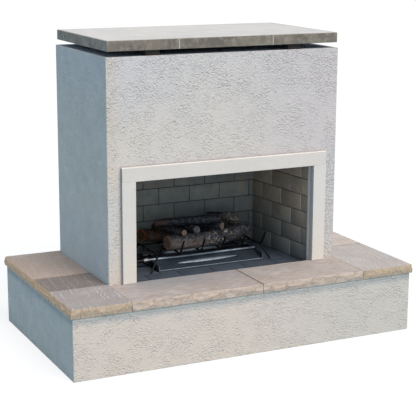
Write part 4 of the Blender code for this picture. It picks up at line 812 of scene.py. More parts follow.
def brick_walls():
    low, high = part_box("firebox_rear_wall")
    brick_panel("brick_rear_wall", "firebox_rear_wall", low, (1, 0, 0), (0, 0, 1), (0, 1, 0),
                (high.x - low.x, high.z - low.z, high.y - low.y), 0.070 + BRICK_THICKNESS, 3)
    run = Vector((BACK_HALF - FRONT_HALF, FIREBOX_BACK - FIREBOX_FRONT, 0))
    for side, label in ((-1, "left"), (1, "right")):
        brick_panel(f"brick_{label}_wall", f"firebox_{label}_wall", (side * FRONT_HALF, FIREBOX_FRONT, low.z),
                    (side * run.x, run.y, 0), (0, 0, 1), (side, 0, 0),
                    (run.length, high.z - low.z, BRICK_THICKNESS), 0.209, 5 + side, "side_brick")
    low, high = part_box("firebox_floor")
    brick_panel("brick_floor", "firebox_floor", (low.x, low.y, high.z), (1, 0, 0), (0, 1, 0), (0, 0, -1),
                high - low, 0.110, 9, "paving_brick")


brick_walls()


# Coping

SLABS = (("coping_left_rear", ("left", "back")), ("coping_left_middle", ("left",)),
         ("coping_left_corner", ("left", "front")), ("coping_front_left", ("front",)),
         ("coping_front_right", ("front",)), ("coping_right_corner", ("front", "right")),
         ("coping_right_rear", ("right", "back")), ("coping_back_strip", ("back",)))
CHISEL_LEVELS = (0.0, 0.04, 0.10, 0.17, 0.25, 0.33, 0.42, 0.50, 0.58, 0.67, 0.75, 0.83, 0.90, 0.96, 1.0)
BELLY = 0.36
UPPER_BATTER, LOWER_BATTER = 0.0052, 0.0034
OPEN_JOINTS = {"coping_left_rear": "front", "coping_left_middle": "back", "coping_front_left": "right",
               "coping_front_right": "left", "coping_right_corner": "back", "coping_right_rear": "front"}
FLUSH_JOINTS = {"coping_left_middle": "front", "coping_left_corner": "back"}
# Large shells and small chips: pace along the face, reach along it, reach up it, and bite.
SCOOPS = (((0.036, 0.090), (0.045, 0.095), (0.022, 0.040), (0.0062, 0.0118)),
          ((0.020, 0.060), (0.016, 0.038), (0.010, 0.020), (0.0035, 0.0065)))
SCOOPED_LENGTH = 1.4
FRONT_STEP, BACK_STEP, SAWN_STEP = 0.004, 0.010, 0.05


def struck_scoops(chips, thick):
    """Shell-shaped scoops struck off one face: place along it, height, reach along and up, and bite."""
    scoops = []
    for pace, reach, rise, bite in SCOOPS:
        at = chips.uniform(-0.03, 0.0)
        while at < SCOOPED_LENGTH + 0.04:
            level = thick * chips.uniform(-0.15, 1.15)
            scoops.append((at, level, chips.uniform(*reach), chips.uniform(*rise), chips.uniform(*bite)))
            at += chips.uniform(*pace)
    return scoops


def struck(scoops, along, level):
    """Depth of the struck face at a place, and how near the place is to a ridge between two scoops."""
    ground = 0.0022 + 0.0016 * noise.noise(Vector((along * 14, level * 20, len(scoops))))
    depths = sorted([ground] + [bite * (1 - ((along - at) / reach) ** 2 - ((level - height) / rise) ** 2)
                                for at, height, reach, rise, bite in scoops if abs(along - at) < reach],
                    reverse=True)
    second = depths[1] if len(depths) > 1 else -1.0
    return max(0.0, depths[0]), 1 - min(1.0, (depths[0] - second) / 0.0014)


def squared_up(places, corner_places, ways):
    """Points that a corner has passed are drawn back to it, so that an outline doesn't cross itself."""
    count = len(places)
    for position, start in enumerate(corner_places):
        corner = places[start]
        for step, way in ((1, ways[position]), (-1, -ways[position - 1])):
            n = (start + step) % count
            while n not in corner_places and (places[n] - corner).dot(way) < 0:
                places[n] = corner.copy()
                n = (n + step) % count
    return places


def arris_of(node, side):
    """How wide the worn arris is where a slab's side meets its neighbour."""
    if OPEN_JOINTS.get(node) == side:
        return 0.0075 if "left" in node and "front" not in node else 0.0045
    return 0.0006 if FLUSH_JOINTS.get(node) == side else 0.0025


def slab_outline(node, rough):
    """A slab's outline seen from above, the corners' places in it, and the way that each side runs.

    Each point has its place, its cuts (struck side, place along it, way inwards), how far the sawn arris goes in
    there, and whether its joint is open."""
    low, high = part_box(node)
    wide, deep = high.x - low.x, high.y - low.y
    sides = {"front": (low.x, low.y, (1, 0), (0, 1), wide), "right": (high.x, low.y, (0, 1), (-1, 0), deep),
             "back": (high.x, high.y, (-1, 0), (0, -1), wide), "left": (low.x, high.y, (0, -1), (1, 0), deep)}
    outline, corner_places, ways = [], [], []
    before = "left"
    for side, (x, y, along, inward, length) in sides.items():
        corner_places.append(len(outline))
        ways.append(Vector((*along, 0)))
        pace = (BACK_STEP if side == "back" else FRONT_STEP) if side in rough else SAWN_STEP
        steps = max(2, round(length / pace))
        for step in range(steps):
            move = length * step / steps
            meets = [(side, move)] + ([(before, sides[before][4])] if step == 0 else [])
            cuts = [(edge, at, Vector((*sides[edge][3], 0))) for edge, at in meets if edge in rough]
            sawn = Vector((0, 0, 0))
            for edge, _ in meets:
                if edge not in rough:
                    sawn += arris_of(node, edge) * Vector((*sides[edge][3], 0))
            is_open = any(OPEN_JOINTS.get(node) == edge for edge, _ in meets)
            outline.append((x + along[0] * move, y + along[1] * move, cuts, sawn, is_open))
        before = side
    return outline, corner_places, ways


def slab_level(outline, scoops, share, number, low, thick):
    """The outline's places at one level of the struck faces, and how near each is to a ridge."""
    places, ridges = [], []
    broken = (0.0006 + 0.0024 * share) * abs(2 * share - 1) ** 5
    batter = (UPPER_BATTER * max(0.0, share - BELLY) / (1 - BELLY)
              + LOWER_BATTER * max(0.0, BELLY - share) / BELLY)
    for x, y, cuts, sawn, _ in outline:
        ridge = 0.0
        place = Vector((x, y, low + share * thick))
        for side, move, inward in cuts:
            depth, near = struck(scoops[side], move, share * thick)
            depth = batter + 0.62 * depth * (1 - 0.55 * (2 * share - 1) ** 2)
            ragged = 0.0012 * (noise.noise(Vector((x * 90, y * 90, share * 6 + number))) + 0.5)
            depth += broken + max(0.0, ragged)
            place += depth * inward
            ridge = max(ridge, near)
        if share == 1.0:
            place += 0.45 * sawn
            place.z -= 0.6 * sawn.length
            if cuts:
                place.z -= 0.0016 * (0.5 + 0.5 * noise.noise(Vector((x * 40, y * 40, number))))
        places.append(place)
        ridges.append(ridge)
    return places, ridges


def coping_slab(node, rough, number):
    """One slab: sawn where it meets its neighbours, struck like split rock where it shows."""
    low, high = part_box(node)
    chips = random.Random(40 + number)
    thick = high.z - low.z
    scoops = {side: struck_scoops(chips, thick) for side in rough}
    outline, corner_places, ways = slab_outline(node, rough)
    bm = bmesh.new()
    layers = {label: bm.verts.layers.float.new(label)
              for label in ("slab", "side", "ridge", "lengthways", "joint", "warm")}
    rings = []
    for share in CHISEL_LEVELS:
        places, ridges = slab_level(outline, scoops, share, number, low.z, thick)
        ring = [bm.verts.new(place) for place in squared_up(places, corner_places, ways)]
        for vert, ridge, (_, _, cuts, _, is_open) in zip(ring, ridges, outline):
            vert[layers["side"]] = 1.0 if cuts and share < 1.0 else 0.0
            vert[layers["ridge"]] = ridge if cuts else 0.0
            # Faces struck on the left side are marked here for their painted warm tint.
            vert[layers["warm"]] = 1.0 if any(cut[0] == "left" for cut in cuts) else 0.0
            vert[layers["joint"]] = 1.0 if is_open and share == 1.0 else 0.0
        rings.append(ring)
    places = []
    for vert, (_, _, cuts, sawn, _) in zip(rings[-1], outline):
        place = vert.co + 0.55 * sawn
        for _, _, inward in cuts:
            place += 0.010 * inward
        place.z = high.z
        places.append(place)
    rings.append([bm.verts.new(place) for place in squared_up(places, corner_places, ways)])
    for vert in bm.verts:
        vert[layers["slab"]] = (number + 0.5) / len(SLABS)
        vert[layers["lengthways"]] = 1.0 if "front" in node else 0.0
    for lower, upper in zip(rings, rings[1:]):
        for n in range(len(outline)):
            face = (lower[n - 1], lower[n], upper[n], upper[n - 1])
            if (face[0].co - face[3].co).length > 1e-6 or (face[1].co - face[2].co).length > 1e-6:
                bm.faces.new(face)
    bm.faces.new(list(reversed(rings[0])))
    bm.faces.new(rings[-1])
    bmesh.ops.remove_doubles(bm, verts=bm.verts, dist=1e-6)
    bmesh.ops.dissolve_degenerate(bm, edges=bm.edges, dist=1e-6)
    return as_piece(node.replace("coping_", "sandstone_"), closed_off(bm), "fireplace", [node],
                    [finishes["coping"]], 40,
                    lambda mesh, face: face.normal.z > 0.9999)


for number, (node, rough) in enumerate(SLABS):
    coping_slab(node, rough, number)


# Log grate

BAR_RADIUS, BAR_AXIS, BAR_TOP = 0.00635, 0.530, 0.53635
GRATE_FRONT, GRATE_BACK, GRATE_LEFT, GRATE_PITCH = -0.0355, 0.3215, -0.3605, 0.1502
GRATE_RIGHT = GRATE_LEFT + 5 * GRATE_PITCH
DROP = 0.0097
CROSS_FRONT, CROSS_BACK = 0.1445, GRATE_BACK - DROP
FOOT = 0.4203
LEG_SPLAY, LEG_RAKE, LEG_SET_BACK = 0.066, 0.031, 0.016
WELD_SIZE = (0.0098, 0.0098, 0.0060, 1)


def grate_shape():
    """Six bars with upturned fingers, two cross bars, four splayed legs and their welds."""
    bm = bmesh.new()

    def rods(points, count=1, pitch=0.0):
        path = bpy.data.meshes.new("path")
        path.from_pydata(points, [(n, n + 1) for n in range(len(points) - 1)], [])
        bm.from_mesh(grown(rods_tree, {"Radius": BAR_RADIUS, "Bend": 0.016, "Count": count, "Pitch": pitch,
                                       "Finish": finishes["black_steel"]}, path))

    rods([(GRATE_LEFT, -0.0975, 0.628), (GRATE_LEFT, GRATE_FRONT, BAR_AXIS), (GRATE_LEFT, GRATE_BACK, BAR_AXIS)],
         6, GRATE_PITCH)
    for y in (CROSS_FRONT, CROSS_BACK):
        rods([(GRATE_LEFT - 2 * BAR_RADIUS, y, BAR_AXIS - DROP), (GRATE_RIGHT + 2 * BAR_RADIUS, y, BAR_AXIS - DROP)])
    for side, x in ((-1, GRATE_LEFT), (1, GRATE_RIGHT)):
        for y, rake in ((GRATE_FRONT + LEG_SET_BACK, -LEG_RAKE), (CROSS_BACK, LEG_RAKE)):
            top = Vector((x, y, BAR_AXIS))
            foot = Vector((x + side * LEG_SPLAY, y + rake, FOOT))
            rods([top, foot + (top - foot).normalized() * 0.004])
    beads = [(GRATE_LEFT + n * GRATE_PITCH, y, BAR_AXIS - DROP / 2) for n in range(6)
             for y in (CROSS_FRONT, CROSS_BACK)]
    beads += [(x, y, BAR_AXIS) for x in (GRATE_LEFT, GRATE_RIGHT) for y in (GRATE_FRONT + LEG_SET_BACK, CROSS_BACK)]
    for number, place in enumerate(beads):
        size = Matrix.Diagonal(WELD_SIZE) @ Matrix.Rotation(0.7 * number, 4, "Z")
        bmesh.ops.create_icosphere(bm, subdivisions=2, radius=1.0, matrix=Matrix.Translation(place) @ size)
    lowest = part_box("grate")[0].z
    for vert in bm.verts:
        vert.co.z = max(vert.co.z, lowest)
    bmesh.ops.recalc_face_normals(bm, faces=bm.faces)
    return bm


as_piece("welded_grate", grate_shape(), "grate", ["grate"], [finishes["black_steel"]], 50)


# Logs: each point is its place and the log's radius there

LOGS = {
    "log_front": [(-0.2606, 0.0584, 0.5836, 0.050), (-0.1217, 0.0405, 0.5836, 0.051),
                  (0.0571, 0.0473, 0.5836, 0.050), (0.1772, 0.0695, 0.5847, 0.0479),
                  (0.3034, 0.1034, 0.6051, 0.0484), (0.3777, 0.1426, 0.6102, 0.0377)],
    "log_rear": [(-0.3252, 0.3465, 0.5777, 0.0432), (-0.199, 0.2965, 0.5777, 0.045),
                 (-0.0503, 0.2737, 0.5777, 0.0423), (0.1502, 0.2694, 0.5777, 0.0405),
                 (0.3702, 0.2665, 0.5777, 0.036)],
    "branch_left": [(-0.2441, 0.3286, 0.639, 0.022), (-0.2028, 0.1787, 0.6503, 0.0231),
                    (-0.157, 0.0145, 0.6514, 0.0202)],
    "branch_middle": [(-0.0946, 0.3072, 0.642, 0.0234), (-0.0714, 0.1644, 0.6488, 0.026),
                      (-0.0526, 0.0416, 0.6553, 0.026)],
    "branch_right": [(0.03, 0.2787, 0.6393, 0.025), (0.0976, 0.1787, 0.6461, 0.0263),
                     (0.1562, 0.0834, 0.6527, 0.0238)],
    "log_knob": [(0.1652, 0.3493, 0.6790, 0.0150), (0.2501, 0.3065, 0.670, 0.0215),
                 (0.3050, 0.2760, 0.656, 0.0400), (0.365, 0.2415, 0.6430, 0.0370)],
    "log_top": [(-0.2980, 0.1825, 0.6965, 0.0225), (-0.0631, 0.1284, 0.7004, 0.0305), (0.1389, 0.0927, 0.7, 0.0226)],
}
BIG_LOGS = ("log_front", "log_rear")
LOG_BODIES = {"log_front": "grate", "log_rear": "grate", "log_top": "top_log"}
LOG_BROWN = {"log_front": 1.0, "log_rear": 0.30, "log_knob": 0.8, "branch_left": 0.45, "branch_middle": 0.3,
             "branch_right": 0.35, "log_top": 0.0}
LOG_FRESH_ENDS = {"log_front": (0.72, 0.3), "log_rear": (1.0, 0.3), "log_top": (0.6, 0.5), "log_knob": (0.2, 0.8),
                  "branch_left": (0.3, 0.9), "branch_middle": (0.2, 0.42), "branch_right": (0.2, 0.9)}
# Left of the first place the bark rusts, fully so after the second length.
LOG_RUST = {"log_rear": (-0.12, 0.10), "log_top": (-0.19, 0.05), "branch_left": (-0.19, 0.06)}
# The same for a brown left end, whose strength comes first.
BROWN_ENDS = {"log_rear": (0.9, -0.14, 0.1), "log_top": (0.45, -0.22, 0.05)}
LOG_CUTS = {"log_rear": (-0.974, -0.225), "log_front": (-0.993, -0.115)}
LOG_SIDES = 72
LOG_STEP = 0.005
SLANT_REACH = 0.075
SEAT_GAP = 0.0003


def smooth_line(points):
    """Close points on a smooth curve through the given ones, each with its radius."""
    ends = [2 * points[0] - points[1], *points, 2 * points[-1] - points[-2]]
    made = []
    for a, b, c, d in zip(ends, ends[1:], ends[2:], ends[3:]):
        steps = max(2, round((c - b).length / LOG_STEP))
        for step in range(steps):
            t = step / steps
            made.append(0.5 * (2 * b + (c - a) * t + (2 * a - 5 * b + 4 * c - d) * t * t
                               + (3 * b - a - 3 * c + d) * t ** 3))
    return made + [points[-1]]


def bark_at(angle, along, radius, seed):
    """Depth of the bark's cracks and the height of its plates at a place on a log, in metres."""
    x, y = math.cos(angle) * radius, math.sin(angle) * radius
    spot = Vector((x, y, along * 0.45)) * 40 + Vector((seed * 3.1, 0, 0))
    distances, _ = noise.voronoi(spot + noise.noise_vector(spot * 0.6) * 0.6)
    crack = max(0.0, 1 - (distances[1] - distances[0]) / 0.10)
    crack *= clamped(0.5 + 2.5 * noise.noise(Vector((x * 20, y * 20, along * 10 + 3 * seed))))
    lump = noise.noise(Vector((x * 18, y * 18, along * 16 + seed)))
    small = noise.noise(Vector((x * 60, y * 60, along * 44 + seed)))
    ridge = noise.noise(Vector((x * 170, y * 170, along * 60 + seed)))
    return crack, 0.0026 * lump + 0.0012 * small + 0.0004 * ridge


def bark_marks(name, x, under):
    """What the bark's finish reads at a place along X, under being 1 beneath the log and 0 on top."""
    brown = LOG_BROWN[name] * clamped(1.7 * under - 0.25)
    ash = 0.10 * (1 - under)
    if name == "log_front":
        brown *= 1.0 - 0.85 * clamped((x + 0.05) / 0.10)
        ashen = clamped((x + 0.01) / 0.05) * clamped(1.35 - under)
        ash = max(ashen * (1.0 - 0.75 * clamped((x - 0.16) / 0.06)), ash)
    if name in ("log_knob", "log_top"):
        ash = 0.12 * (1 - under)
    if name in BROWN_ENDS:
        share, start, over = BROWN_ENDS[name]
        brown = max(brown, share * clamped((start - x) / over))
    rust = 0.0
    if name in LOG_RUST:
        start, over = LOG_RUST[name]
        rust = clamped((start - x) / over)
    # pale lightens the knob's thick right end: partly its own grey-brown, partly painted light on a part in shade.
    return {"brown": brown, "ash": ash, "rust": rust,
            "pale": clamped((x - 0.24) / 0.05) if name == "log_knob" else 0.0}


def log_shape(name, seed):
    """A burnt log with cracked bark and sawn ends, from its points."""
    line = smooth_line([Vector(point) for point in LOGS[name]])
    bm = bmesh.new()
    layers = {label: bm.verts.layers.float.new(label) for label in ("crack", "brown", "ash", "reach", "pale", "rust")}
    uv = bm.loops.layers.uv.new("bark")
    rings, travelled = [], 0.0
    marks = {}
    last = len(line) - 1
    for number, point in enumerate(line):
        ahead = line[min(number + 1, last)].xyz - line[max(number - 1, 0)].xyz
        ahead.normalize()
        side = ahead.cross(Vector((0, 0, 1))).normalized()
        rise = side.cross(ahead)
        if number:
            travelled += (point.xyz - line[number - 1].xyz).length
        chamfer = 0.0022 if number in (0, last) else (0.0006 if number in (1, last - 1) else 0.0)
        ring = []
        for n in range(LOG_SIDES):
            angle = 2 * math.pi * n / LOG_SIDES
            crack, swell = bark_at(angle, travelled, point[3], seed)
            reach = point[3] * 1.012 + swell - 0.0022 * crack - chamfer
            place = point.xyz + reach * (side * math.cos(angle) + rise * math.sin(angle))
            if name in LOG_CUTS and travelled < SLANT_REACH:
                cut = Vector((*LOG_CUTS[name], 0)).normalized()
                lean = (place - point.xyz).dot(cut) / -ahead.dot(cut)
                place += ahead * lean * (1 - travelled / SLANT_REACH)
            vert = bm.verts.new(place)
            vert[layers["crack"]] = crack
            for label, value in bark_marks(name, point.x, 0.5 - 0.5 * math.sin(angle)).items():
                vert[layers[label]] = value
            marks[vert] = (n / LOG_SIDES, travelled)
            ring.append(vert)
        rings.append(ring)
    skinned(bm, rings)
    for number, face in enumerate(bm.faces):
        for loop in face.loops:
            around, along = marks[loop.vert]
            if number % LOG_SIDES == 0 and around > 0.5:
                around -= 1.0
            loop[uv].uv = (around, along)
    for ring, fresh in zip((rings[0], rings[-1]), LOG_FRESH_ENDS[name]):
        centre = sum((vert.co for vert in ring), Vector()) / LOG_SIDES
        outer = ring
        for vert in ring:
            vert[layers["reach"]] = 1.0
            vert[layers["brown"]] = fresh
        for share in (0.86, 0.68, 0.48, 0.27, 0.08):
            inner = []
            for vert in ring:
                place = centre.lerp(vert.co, share)
                place += 0.0007 * noise.noise(place * 120) * (vert.co - centre).normalized()
                made = bm.verts.new(place)
                made[layers["reach"]] = share
                made[layers["brown"]] = fresh
                inner.append(made)
            for n in range(LOG_SIDES):
                bm.faces.new((outer[n - 1], outer[n], inner[n], inner[n - 1])).material_index = 1
            outer = inner
        bm.faces.new(outer).material_index = 1
    bmesh.ops.recalc_face_normals(bm, faces=bm.faces)
    return bm


def seat_on(bm, carriers):
    """Pushes a log's points out of the logs that carry it."""
    for tree in carriers:
        for vert in bm.verts:
            spot, normal, _, _ = tree.find_nearest(vert.co, 0.03)
            if spot is not None and (vert.co - spot).dot(normal) < SEAT_GAP:
                vert.co = spot + normal * SEAT_GAP


carriers = {}
for seed, name in enumerate(LOGS):
    bm = log_shape(name, seed)
    if name in BIG_LOGS:
        for vert in bm.verts:
            vert.co.z = max(vert.co.z, BAR_TOP + SEAT_GAP)
    else:
        under = ("branch_left", "branch_middle", "branch_right") if name == "log_top" else BIG_LOGS
        seat_on(bm, [carriers[label] for label in under])
    carriers[name] = BVHTree.FromBMesh(bm)
    as_piece(name.replace("log_", "burnt_log_").replace("branch_", "burnt_branch_"), bm,
             LOG_BODIES.get(name, "bridge_logs"), [name],
             [finishes["bark"], finishes["sawn_end"]], 60)


# Burner pan and tubes

pan_low, pan_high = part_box("burner_pan")
PAN_FRONT, PAN_BACK, PAN_BASE, PAN_TOP = pan_low.y, pan_high.y, pan_low.z, pan_high.z
PAN_SHEET = 0.002
TROUGH = 0.0875
APRON_TOP = PAN_BASE + 0.040
APRON_FOOT = PAN_FRONT + 0.009
PLATE_FRONT_TOP = PAN_BASE + 0.038
LIP_TOP = PAN_BASE + 0.009
FRONT_TUBE_Y, REAR_TUBE_Y, TUBE_AXIS, TUBE_RADIUS = 0.0985, 0.2215, 0.470, 0.011
TUBE_END = ((0, 0.0085), (0.0008, 0.0100), (0.0022, TUBE_RADIUS))
HEM, CORNER_ROD = 0.0028, 0.0036
BEAD_START, BEAD_END = Vector((-0.198, 0.0384, 0.4450)), Vector((0.2506, 0.0445, 0.4469))
BEAD_HALF_WIDTH, BEAD_HEIGHT, BEAD_STEPS = 0.0195, 0.0095, 60


def rounded_outline(points, radius=0.0012, steps=3):
    """A closed outline with each corner rounded."""
    made = []
    for before, corner, after in zip([points[-1], *points], points, [*points[1:], points[0]]):
        corner = Vector(corner)
        start, end = (corner + (Vector(other) - corner).normalized() * min(radius, (Vector(other) - corner).length / 3)
                      for other in (before, after))
        for step in range(steps + 1):
            share = step / steps
            made.append(start.lerp(corner, share).lerp(corner.lerp(end, share), share))
    return made


def drawn_out(outline, start, end):
    """An outline in Y and Z drawn out along X."""
    bm = bmesh.new()
    rings = [[bm.verts.new((x, y, z)) for y, z in outline] for x in (start, end)]
    skinned(bm, rings)
    for ring in rings:
        bm.faces.new(ring)
    return closed_off(bm)


def end_plate():
    """The pan's end plate in Y and Z, with half-round seats for the two tubes."""
    outline = [Vector(p) for p in ((PAN_FRONT, PAN_BASE), (PAN_BACK, PAN_BASE), (PAN_BACK, PAN_TOP))]
    for axis_y in (REAR_TUBE_Y, FRONT_TUBE_Y):
        reach = math.sqrt(TUBE_RADIUS ** 2 - (PAN_TOP - TUBE_AXIS) ** 2)
        turn = math.atan2(PAN_TOP - TUBE_AXIS, reach)
        for step in range(15):
            angle = turn - (math.pi + 2 * turn) * step / 14
            outline.append(Vector((axis_y + math.cos(angle) * (TUBE_RADIUS + SEAT_GAP),
                                   TUBE_AXIS + math.sin(angle) * (TUBE_RADIUS + SEAT_GAP))))
    return [*outline, Vector((PAN_FRONT + 0.004, PLATE_FRONT_TOP)), Vector((PAN_FRONT, PLATE_FRONT_TOP))]


def rod_between(start, end, radius):
    """A short round rod with softened ends."""
    length = (Vector(end) - Vector(start)).length
    soft = radius * 0.3
    profile = [(0, radius - soft), (soft, radius), (length - soft, radius), (length, radius - soft)]
    return turned(start, Vector(end) - Vector(start), profile, 16)


def apron_bead():
    """A long shallow bead pressed in the apron, pointed at both ends."""
    run = Vector((0, TROUGH - APRON_FOOT, APRON_TOP - PAN_BASE - PAN_SHEET)).normalized()
    out = Vector((0, -run.z, run.y))
    bm = bmesh.new()
    rows = []
    for step in range(BEAD_STEPS + 1):
        share = step / BEAD_STEPS
        swell = max(0.02, math.sin(math.pi * share)) ** 0.5
        middle = BEAD_START.lerp(BEAD_END, share) - out * 0.0006
        rows.append([bm.verts.new(middle + run * (BEAD_HALF_WIDTH * swell * across)
                                  + out * (BEAD_HEIGHT * swell * math.cos(across * math.pi / 2)))
                     for across in [n / 8 for n in range(-8, 9)]])
    for low_row, high_row in zip(rows, rows[1:]):
        for n in range(16):
            bm.faces.new((low_row[n], low_row[n + 1], high_row[n + 1], high_row[n]))
    for row in (rows[0], rows[-1]):
        bm.faces.new(row)
    bmesh.ops.contextual_create(bm, geom=[edge for edge in bm.edges if edge.is_boundary])
    bmesh.ops.recalc_face_normals(bm, faces=bm.faces)
    return bm


def pan_shape():
    """The folded pan: a tray with a sloped apron in front, and its two end plates."""
    inner = PAN_BASE + PAN_SHEET
    pan = drawn_out(rounded_outline([
        (PAN_FRONT, LIP_TOP), (PAN_FRONT, PAN_BASE), (PAN_BACK, PAN_BASE), (PAN_BACK, PAN_TOP),
        (PAN_BACK - PAN_SHEET, PAN_TOP), (PAN_BACK - PAN_SHEET, inner), (TROUGH + PAN_SHEET, inner),
        (TROUGH + PAN_SHEET, APRON_TOP), (TROUGH, APRON_TOP), (APRON_FOOT, inner), (PAN_FRONT + PAN_SHEET, inner),
        (PAN_FRONT + PAN_SHEET, LIP_TOP)]), pan_low.x, pan_high.x)
    for start in (pan_low.x, pan_high.x - PAN_SHEET):
        add_to(pan, drawn_out(end_plate(), start, start + PAN_SHEET))
    return pan


corner_rods = bmesh.new()
for x in (pan_low.x + CORNER_ROD, pan_high.x - CORNER_ROD):
    y = PAN_FRONT + CORNER_ROD
    add_to(corner_rods, rod_between((x, y, PAN_BASE + CORNER_ROD), (x, y, PAN_BASE + 0.0390), CORNER_ROD))
hem = rod_between(*[(x, PAN_FRONT + HEM, PAN_BASE + 0.0085) for x in (pan_low.x, pan_high.x)], HEM)
for name, shape, label in (("pan_corner_rods", corner_rods, "bead_steel"), ("pan_hem_painted_highlight", hem, "hem_steel"),
                           ("apron_bead", apron_bead(), "bead_steel")):
    as_piece(name, shape, "fireplace", [], [finishes[label]])
as_piece("folded_burner_pan", pan_shape(), "fireplace", ["burner_pan"], [finishes["pan_steel"]], 35)

for node, y, label in (("burner_tube_front", FRONT_TUBE_Y, "tube_steel"),
                       ("burner_tube_rear", REAR_TUBE_Y, "rear_tube")):
    tube_low, tube_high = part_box(node)
    length = tube_high.x - tube_low.x
    profile = [*TUBE_END, *[(length - along, radius) for along, radius in reversed(TUBE_END)]]
    as_piece(node.replace("burner_tube", "gas_burner"), turned((tube_low.x, y, TUBE_AXIS), (1, 0, 0), profile),
             "fireplace", [node], [finishes[label]])


# Masonry, coats, cap and metal that keep the CAD shape, with softened edges

KEPT = {
    "masonry": ("hearth_core", "tower_core_left", "tower_core_right", "tower_core_rear", "header_block",
                "smoke_chamber_front", "smoke_chamber_left", "smoke_chamber_rear", "smoke_chamber_right",
                "flue_surround"),
    "cement_board": ("front_panel",), "flue_clay": ("flue_liner",), "crown_mortar": ("tower_crown",),
    "iron_pipe": ("burner_manifold", "gas_pipe", "gas_wall_stub"), "black_steel": ("lintel_bar",),
}
COAT_EDGE, STONE_EDGE, SPACER_EDGE, CAP_EDGE, FITTING_EDGE = 0.006, 0.0012, 0.002, 0.001, 0.0004

for label, kept in KEPT.items():
    for node in kept:
        nodes[node].material_slots[0].material = finishes[label]


def soft_piece(node, name, width, material, body="fireplace", segments=2):
    return as_piece(name, softened(node, width, segments), body, [node], [material], 35,
                    lambda mesh, face: broad(mesh, face, width))


soft_piece("tower_stucco", "tower_coat", COAT_EDGE, finishes["stucco"], segments=3)
soft_piece("hearth_stucco", "hearth_coat", COAT_EDGE, finishes["stucco"], segments=3)
soft_piece("cap_slab", "cap_bed", CAP_EDGE, finishes["cap_stone"])
for place in ("front_left", "front_right", "rear_left", "rear_right"):
    soft_piece("cap_spacer_" + place, "spacer_" + place, SPACER_EDGE, finishes["spacer"])
for place in ("back", "front_left", "front_middle", "front_right", "left", "right"):
    node = "cap_tile_" + place
    # The left tile, on the cap's shaded side, gets a paler base than the others: painted light.
    wire = boxed_stone(node, (150, 140, 125) if place == "left" else (128, 116, 99), (92, 85, 74), (150, 142, 128),
                       (168, 160, 145), fineness=8.0, grain_size=80.0, roughness=0.75, relief=0.0012, patches=0.75,
                       specks=0.65)
    soft_piece(node, "edge_tile_" + place, STONE_EDGE, finish("tile_" + place, wire))
for node in ("surround_left_jamb", "surround_lintel", "surround_right_jamb"):
    wire = boxed_stone(node, (218, 205, 191) if "lintel" in node else (219, 209, 196), (211, 201, 189),
                       (222, 213, 200), (228, 221, 210), left_shade=0.0 if "right" in node else 0.8, fineness=3.0,
                       grain_size=75.0, roughness=0.72, relief=0.0030, patches=0.4, specks=0.3)
    soft_piece(node, node.replace("surround", "cast_stone"), STONE_EDGE, finish(node + "_stone", wire))


def grout_strip(name, low, high, label):
    """A thin pointed joint between two stones."""
    size = Vector(high) - Vector(low)
    middle = (Vector(high) + Vector(low)) / 2
    bm = bmesh.new()
    bmesh.ops.create_cube(bm, size=1.0, matrix=Matrix.Translation(middle) @ Matrix.Diagonal((*size, 1)))
    bmesh.ops.bevel(bm, geom=list(bm.edges), offset=0.0003, offset_type="OFFSET", segments=1, profile=0.5,
                    affect="EDGES")
    return as_piece(name, bm, "fireplace", [], [finishes[label]])


tile_low, tile_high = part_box("cap_tile_front_middle")
for label, x in (("left", tile_low.x - 0.001), ("right", tile_high.x + 0.001)):
    grout_strip("cap_joint_" + label, (x - 0.0026, tile_low.y - 0.0005, tile_low.z + 0.0005),
                (x + 0.0026, tile_low.y + 0.006, tile_high.z - 0.0008), "grout")
lintel_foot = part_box("surround_lintel")[0].z
for label in ("left", "right"):
    jamb_low, jamb_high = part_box(f"surround_{label}_jamb")
    grout_strip("surround_joint_" + label, (jamb_low.x + 0.0012, jamb_low.y + 0.0003, lintel_foot - 0.0014),
                (jamb_high.x - 0.0010, jamb_high.y - 0.002, lintel_foot + 0.0014), "stone_paste")
for place, node, drop, label in (("corner", "coping_left_corner", 0.0004, "joint_sand"),
                                 ("middle", "coping_front_left", 0.0022, "joint_earth"),
                                 ("right", "coping_front_right", 0.0004, "joint_sand")):
    slab_low, slab_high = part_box(node)
    grout_strip("slab_joint_" + place, (slab_high.x - 0.0012, slab_low.y + 0.014, slab_low.z + 0.004),
                (slab_high.x + 0.0052, slab_high.y, slab_high.z - drop), label)
soft_piece("burner_coupling", "hose_coupling", FITTING_EDGE, finishes["plated"])
soft_piece("gas_valve_body", "brass_valve", FITTING_EDGE, finishes["brass"])
soft_piece("gas_valve_lever", "red_lever", FITTING_EDGE, finishes["lever_red"], body="valve_lever")


# Floor, light and camera

WHITE = (1.0, 1.0, 1.0, 1.0)


def seen_by(web, *rays):
    """1 where one of these kinds of ray looks, 0 where the light does."""
    seen = web.put("ShaderNodeLightPath", output=rays[0])
    for ray in rays[1:]:
        seen = web.maths("MAXIMUM", seen, web.put("ShaderNodeLightPath", output=ray))
    return seen


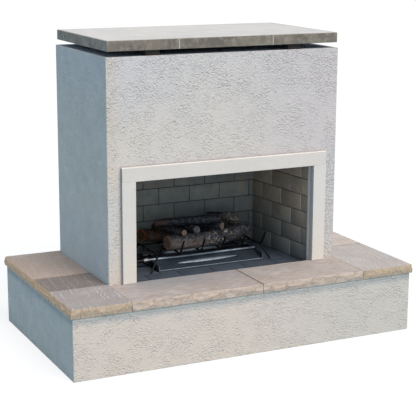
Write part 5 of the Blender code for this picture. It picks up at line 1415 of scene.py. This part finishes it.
def pale_floor():
    """A floor that the camera sees as white with a faint shadow, and that bounces a little cool light."""
    material = bpy.data.materials.new("studio_floor")
    material.use_nodes = True
    tree = material.node_tree
    tree.nodes.clear()
    web = Wiring(tree)
    seen = seen_by(web, "Is Camera Ray", "Is Glossy Ray")
    plain = web.put("ShaderNodeBsdfDiffuse", {"Color": web.mix(seen, (0.26, 0.375, 0.48, 1), (0.9, 0.9, 0.9, 1))})
    bright = web.put("ShaderNodeEmission", {"Color": WHITE, "Strength": 1.0})
    both = web.put("ShaderNodeMixShader", {0: seen * 0.82, 1: plain, 2: bright})
    web.feed(both, tree.nodes.new("ShaderNodeOutputMaterial").inputs["Surface"])
    bm = bmesh.new()
    bmesh.ops.create_grid(bm, x_segments=1, y_segments=1, size=60)
    mesh = bpy.data.meshes.new("studio_floor")
    bm.to_mesh(mesh)
    bm.free()
    mesh.materials.append(material)
    floor = link_mesh("studio_floor", mesh)
    floor.location.z = -0.001


def pale_sky():
    """Cool soft light from all round, seen as white."""
    world = bpy.data.worlds.new("soft_sky")
    scene.world = world
    world.use_nodes = True
    world.node_tree.nodes.clear()
    web = Wiring(world.node_tree)
    seen = seen_by(web, "Is Camera Ray", "Is Glossy Ray", "Is Transmission Ray")
    sky = web.put("ShaderNodeBackground", {"Color": web.mix(seen, (0.300, 0.472, 0.63, 1), WHITE), "Strength": 1.0})
    web.feed(sky, world.node_tree.nodes.new("ShaderNodeOutputWorld").inputs["Surface"])


def place_in_scene(data, turn):
    """A lamp or camera in the scene, turned by a quaternion."""
    made = bpy.data.objects.new(data.name, data)
    scene.collection.objects.link(made)
    made.rotation_mode = "QUATERNION"
    made.rotation_quaternion = turn
    return made


def key_light():
    """A warm soft sun from the front, a little to the right."""
    data = bpy.data.lights.new("key", "SUN")
    data.energy, data.angle, data.color = 3.45, math.radians(34), (1.0, 0.915, 0.865)
    azimuth, elevation = math.radians(11), math.radians(54)
    towards = Vector((math.sin(azimuth) * math.cos(elevation), -math.cos(azimuth) * math.cos(elevation),
                      math.sin(elevation)))
    place_in_scene(data, towards.to_track_quat("Z", "Y"))


def photo_camera():
    """The photograph's viewpoint."""
    data = bpy.data.cameras.new("camera")
    data.sensor_width = 36
    data.lens = 106.68
    data.clip_end = 200
    yaw, pitch, roll = 0.4526, 0.2216, 0.0050
    forward = Vector((math.sin(yaw) * math.cos(pitch), math.cos(yaw) * math.cos(pitch), -math.sin(pitch)))
    right = Vector((math.cos(yaw), -math.sin(yaw), 0))
    up = right.cross(forward)
    across = math.cos(roll) * right + math.sin(roll) * up
    upward = -math.sin(roll) * right + math.cos(roll) * up
    scene.camera = place_in_scene(data, Matrix((across, upward, -forward)).transposed().to_quaternion())
    scene.camera.location = (-3.470, -7.152, 2.633)


pale_floor()
pale_sky()
key_light()
photo_camera()
scene.view_settings.view_transform = "Standard"
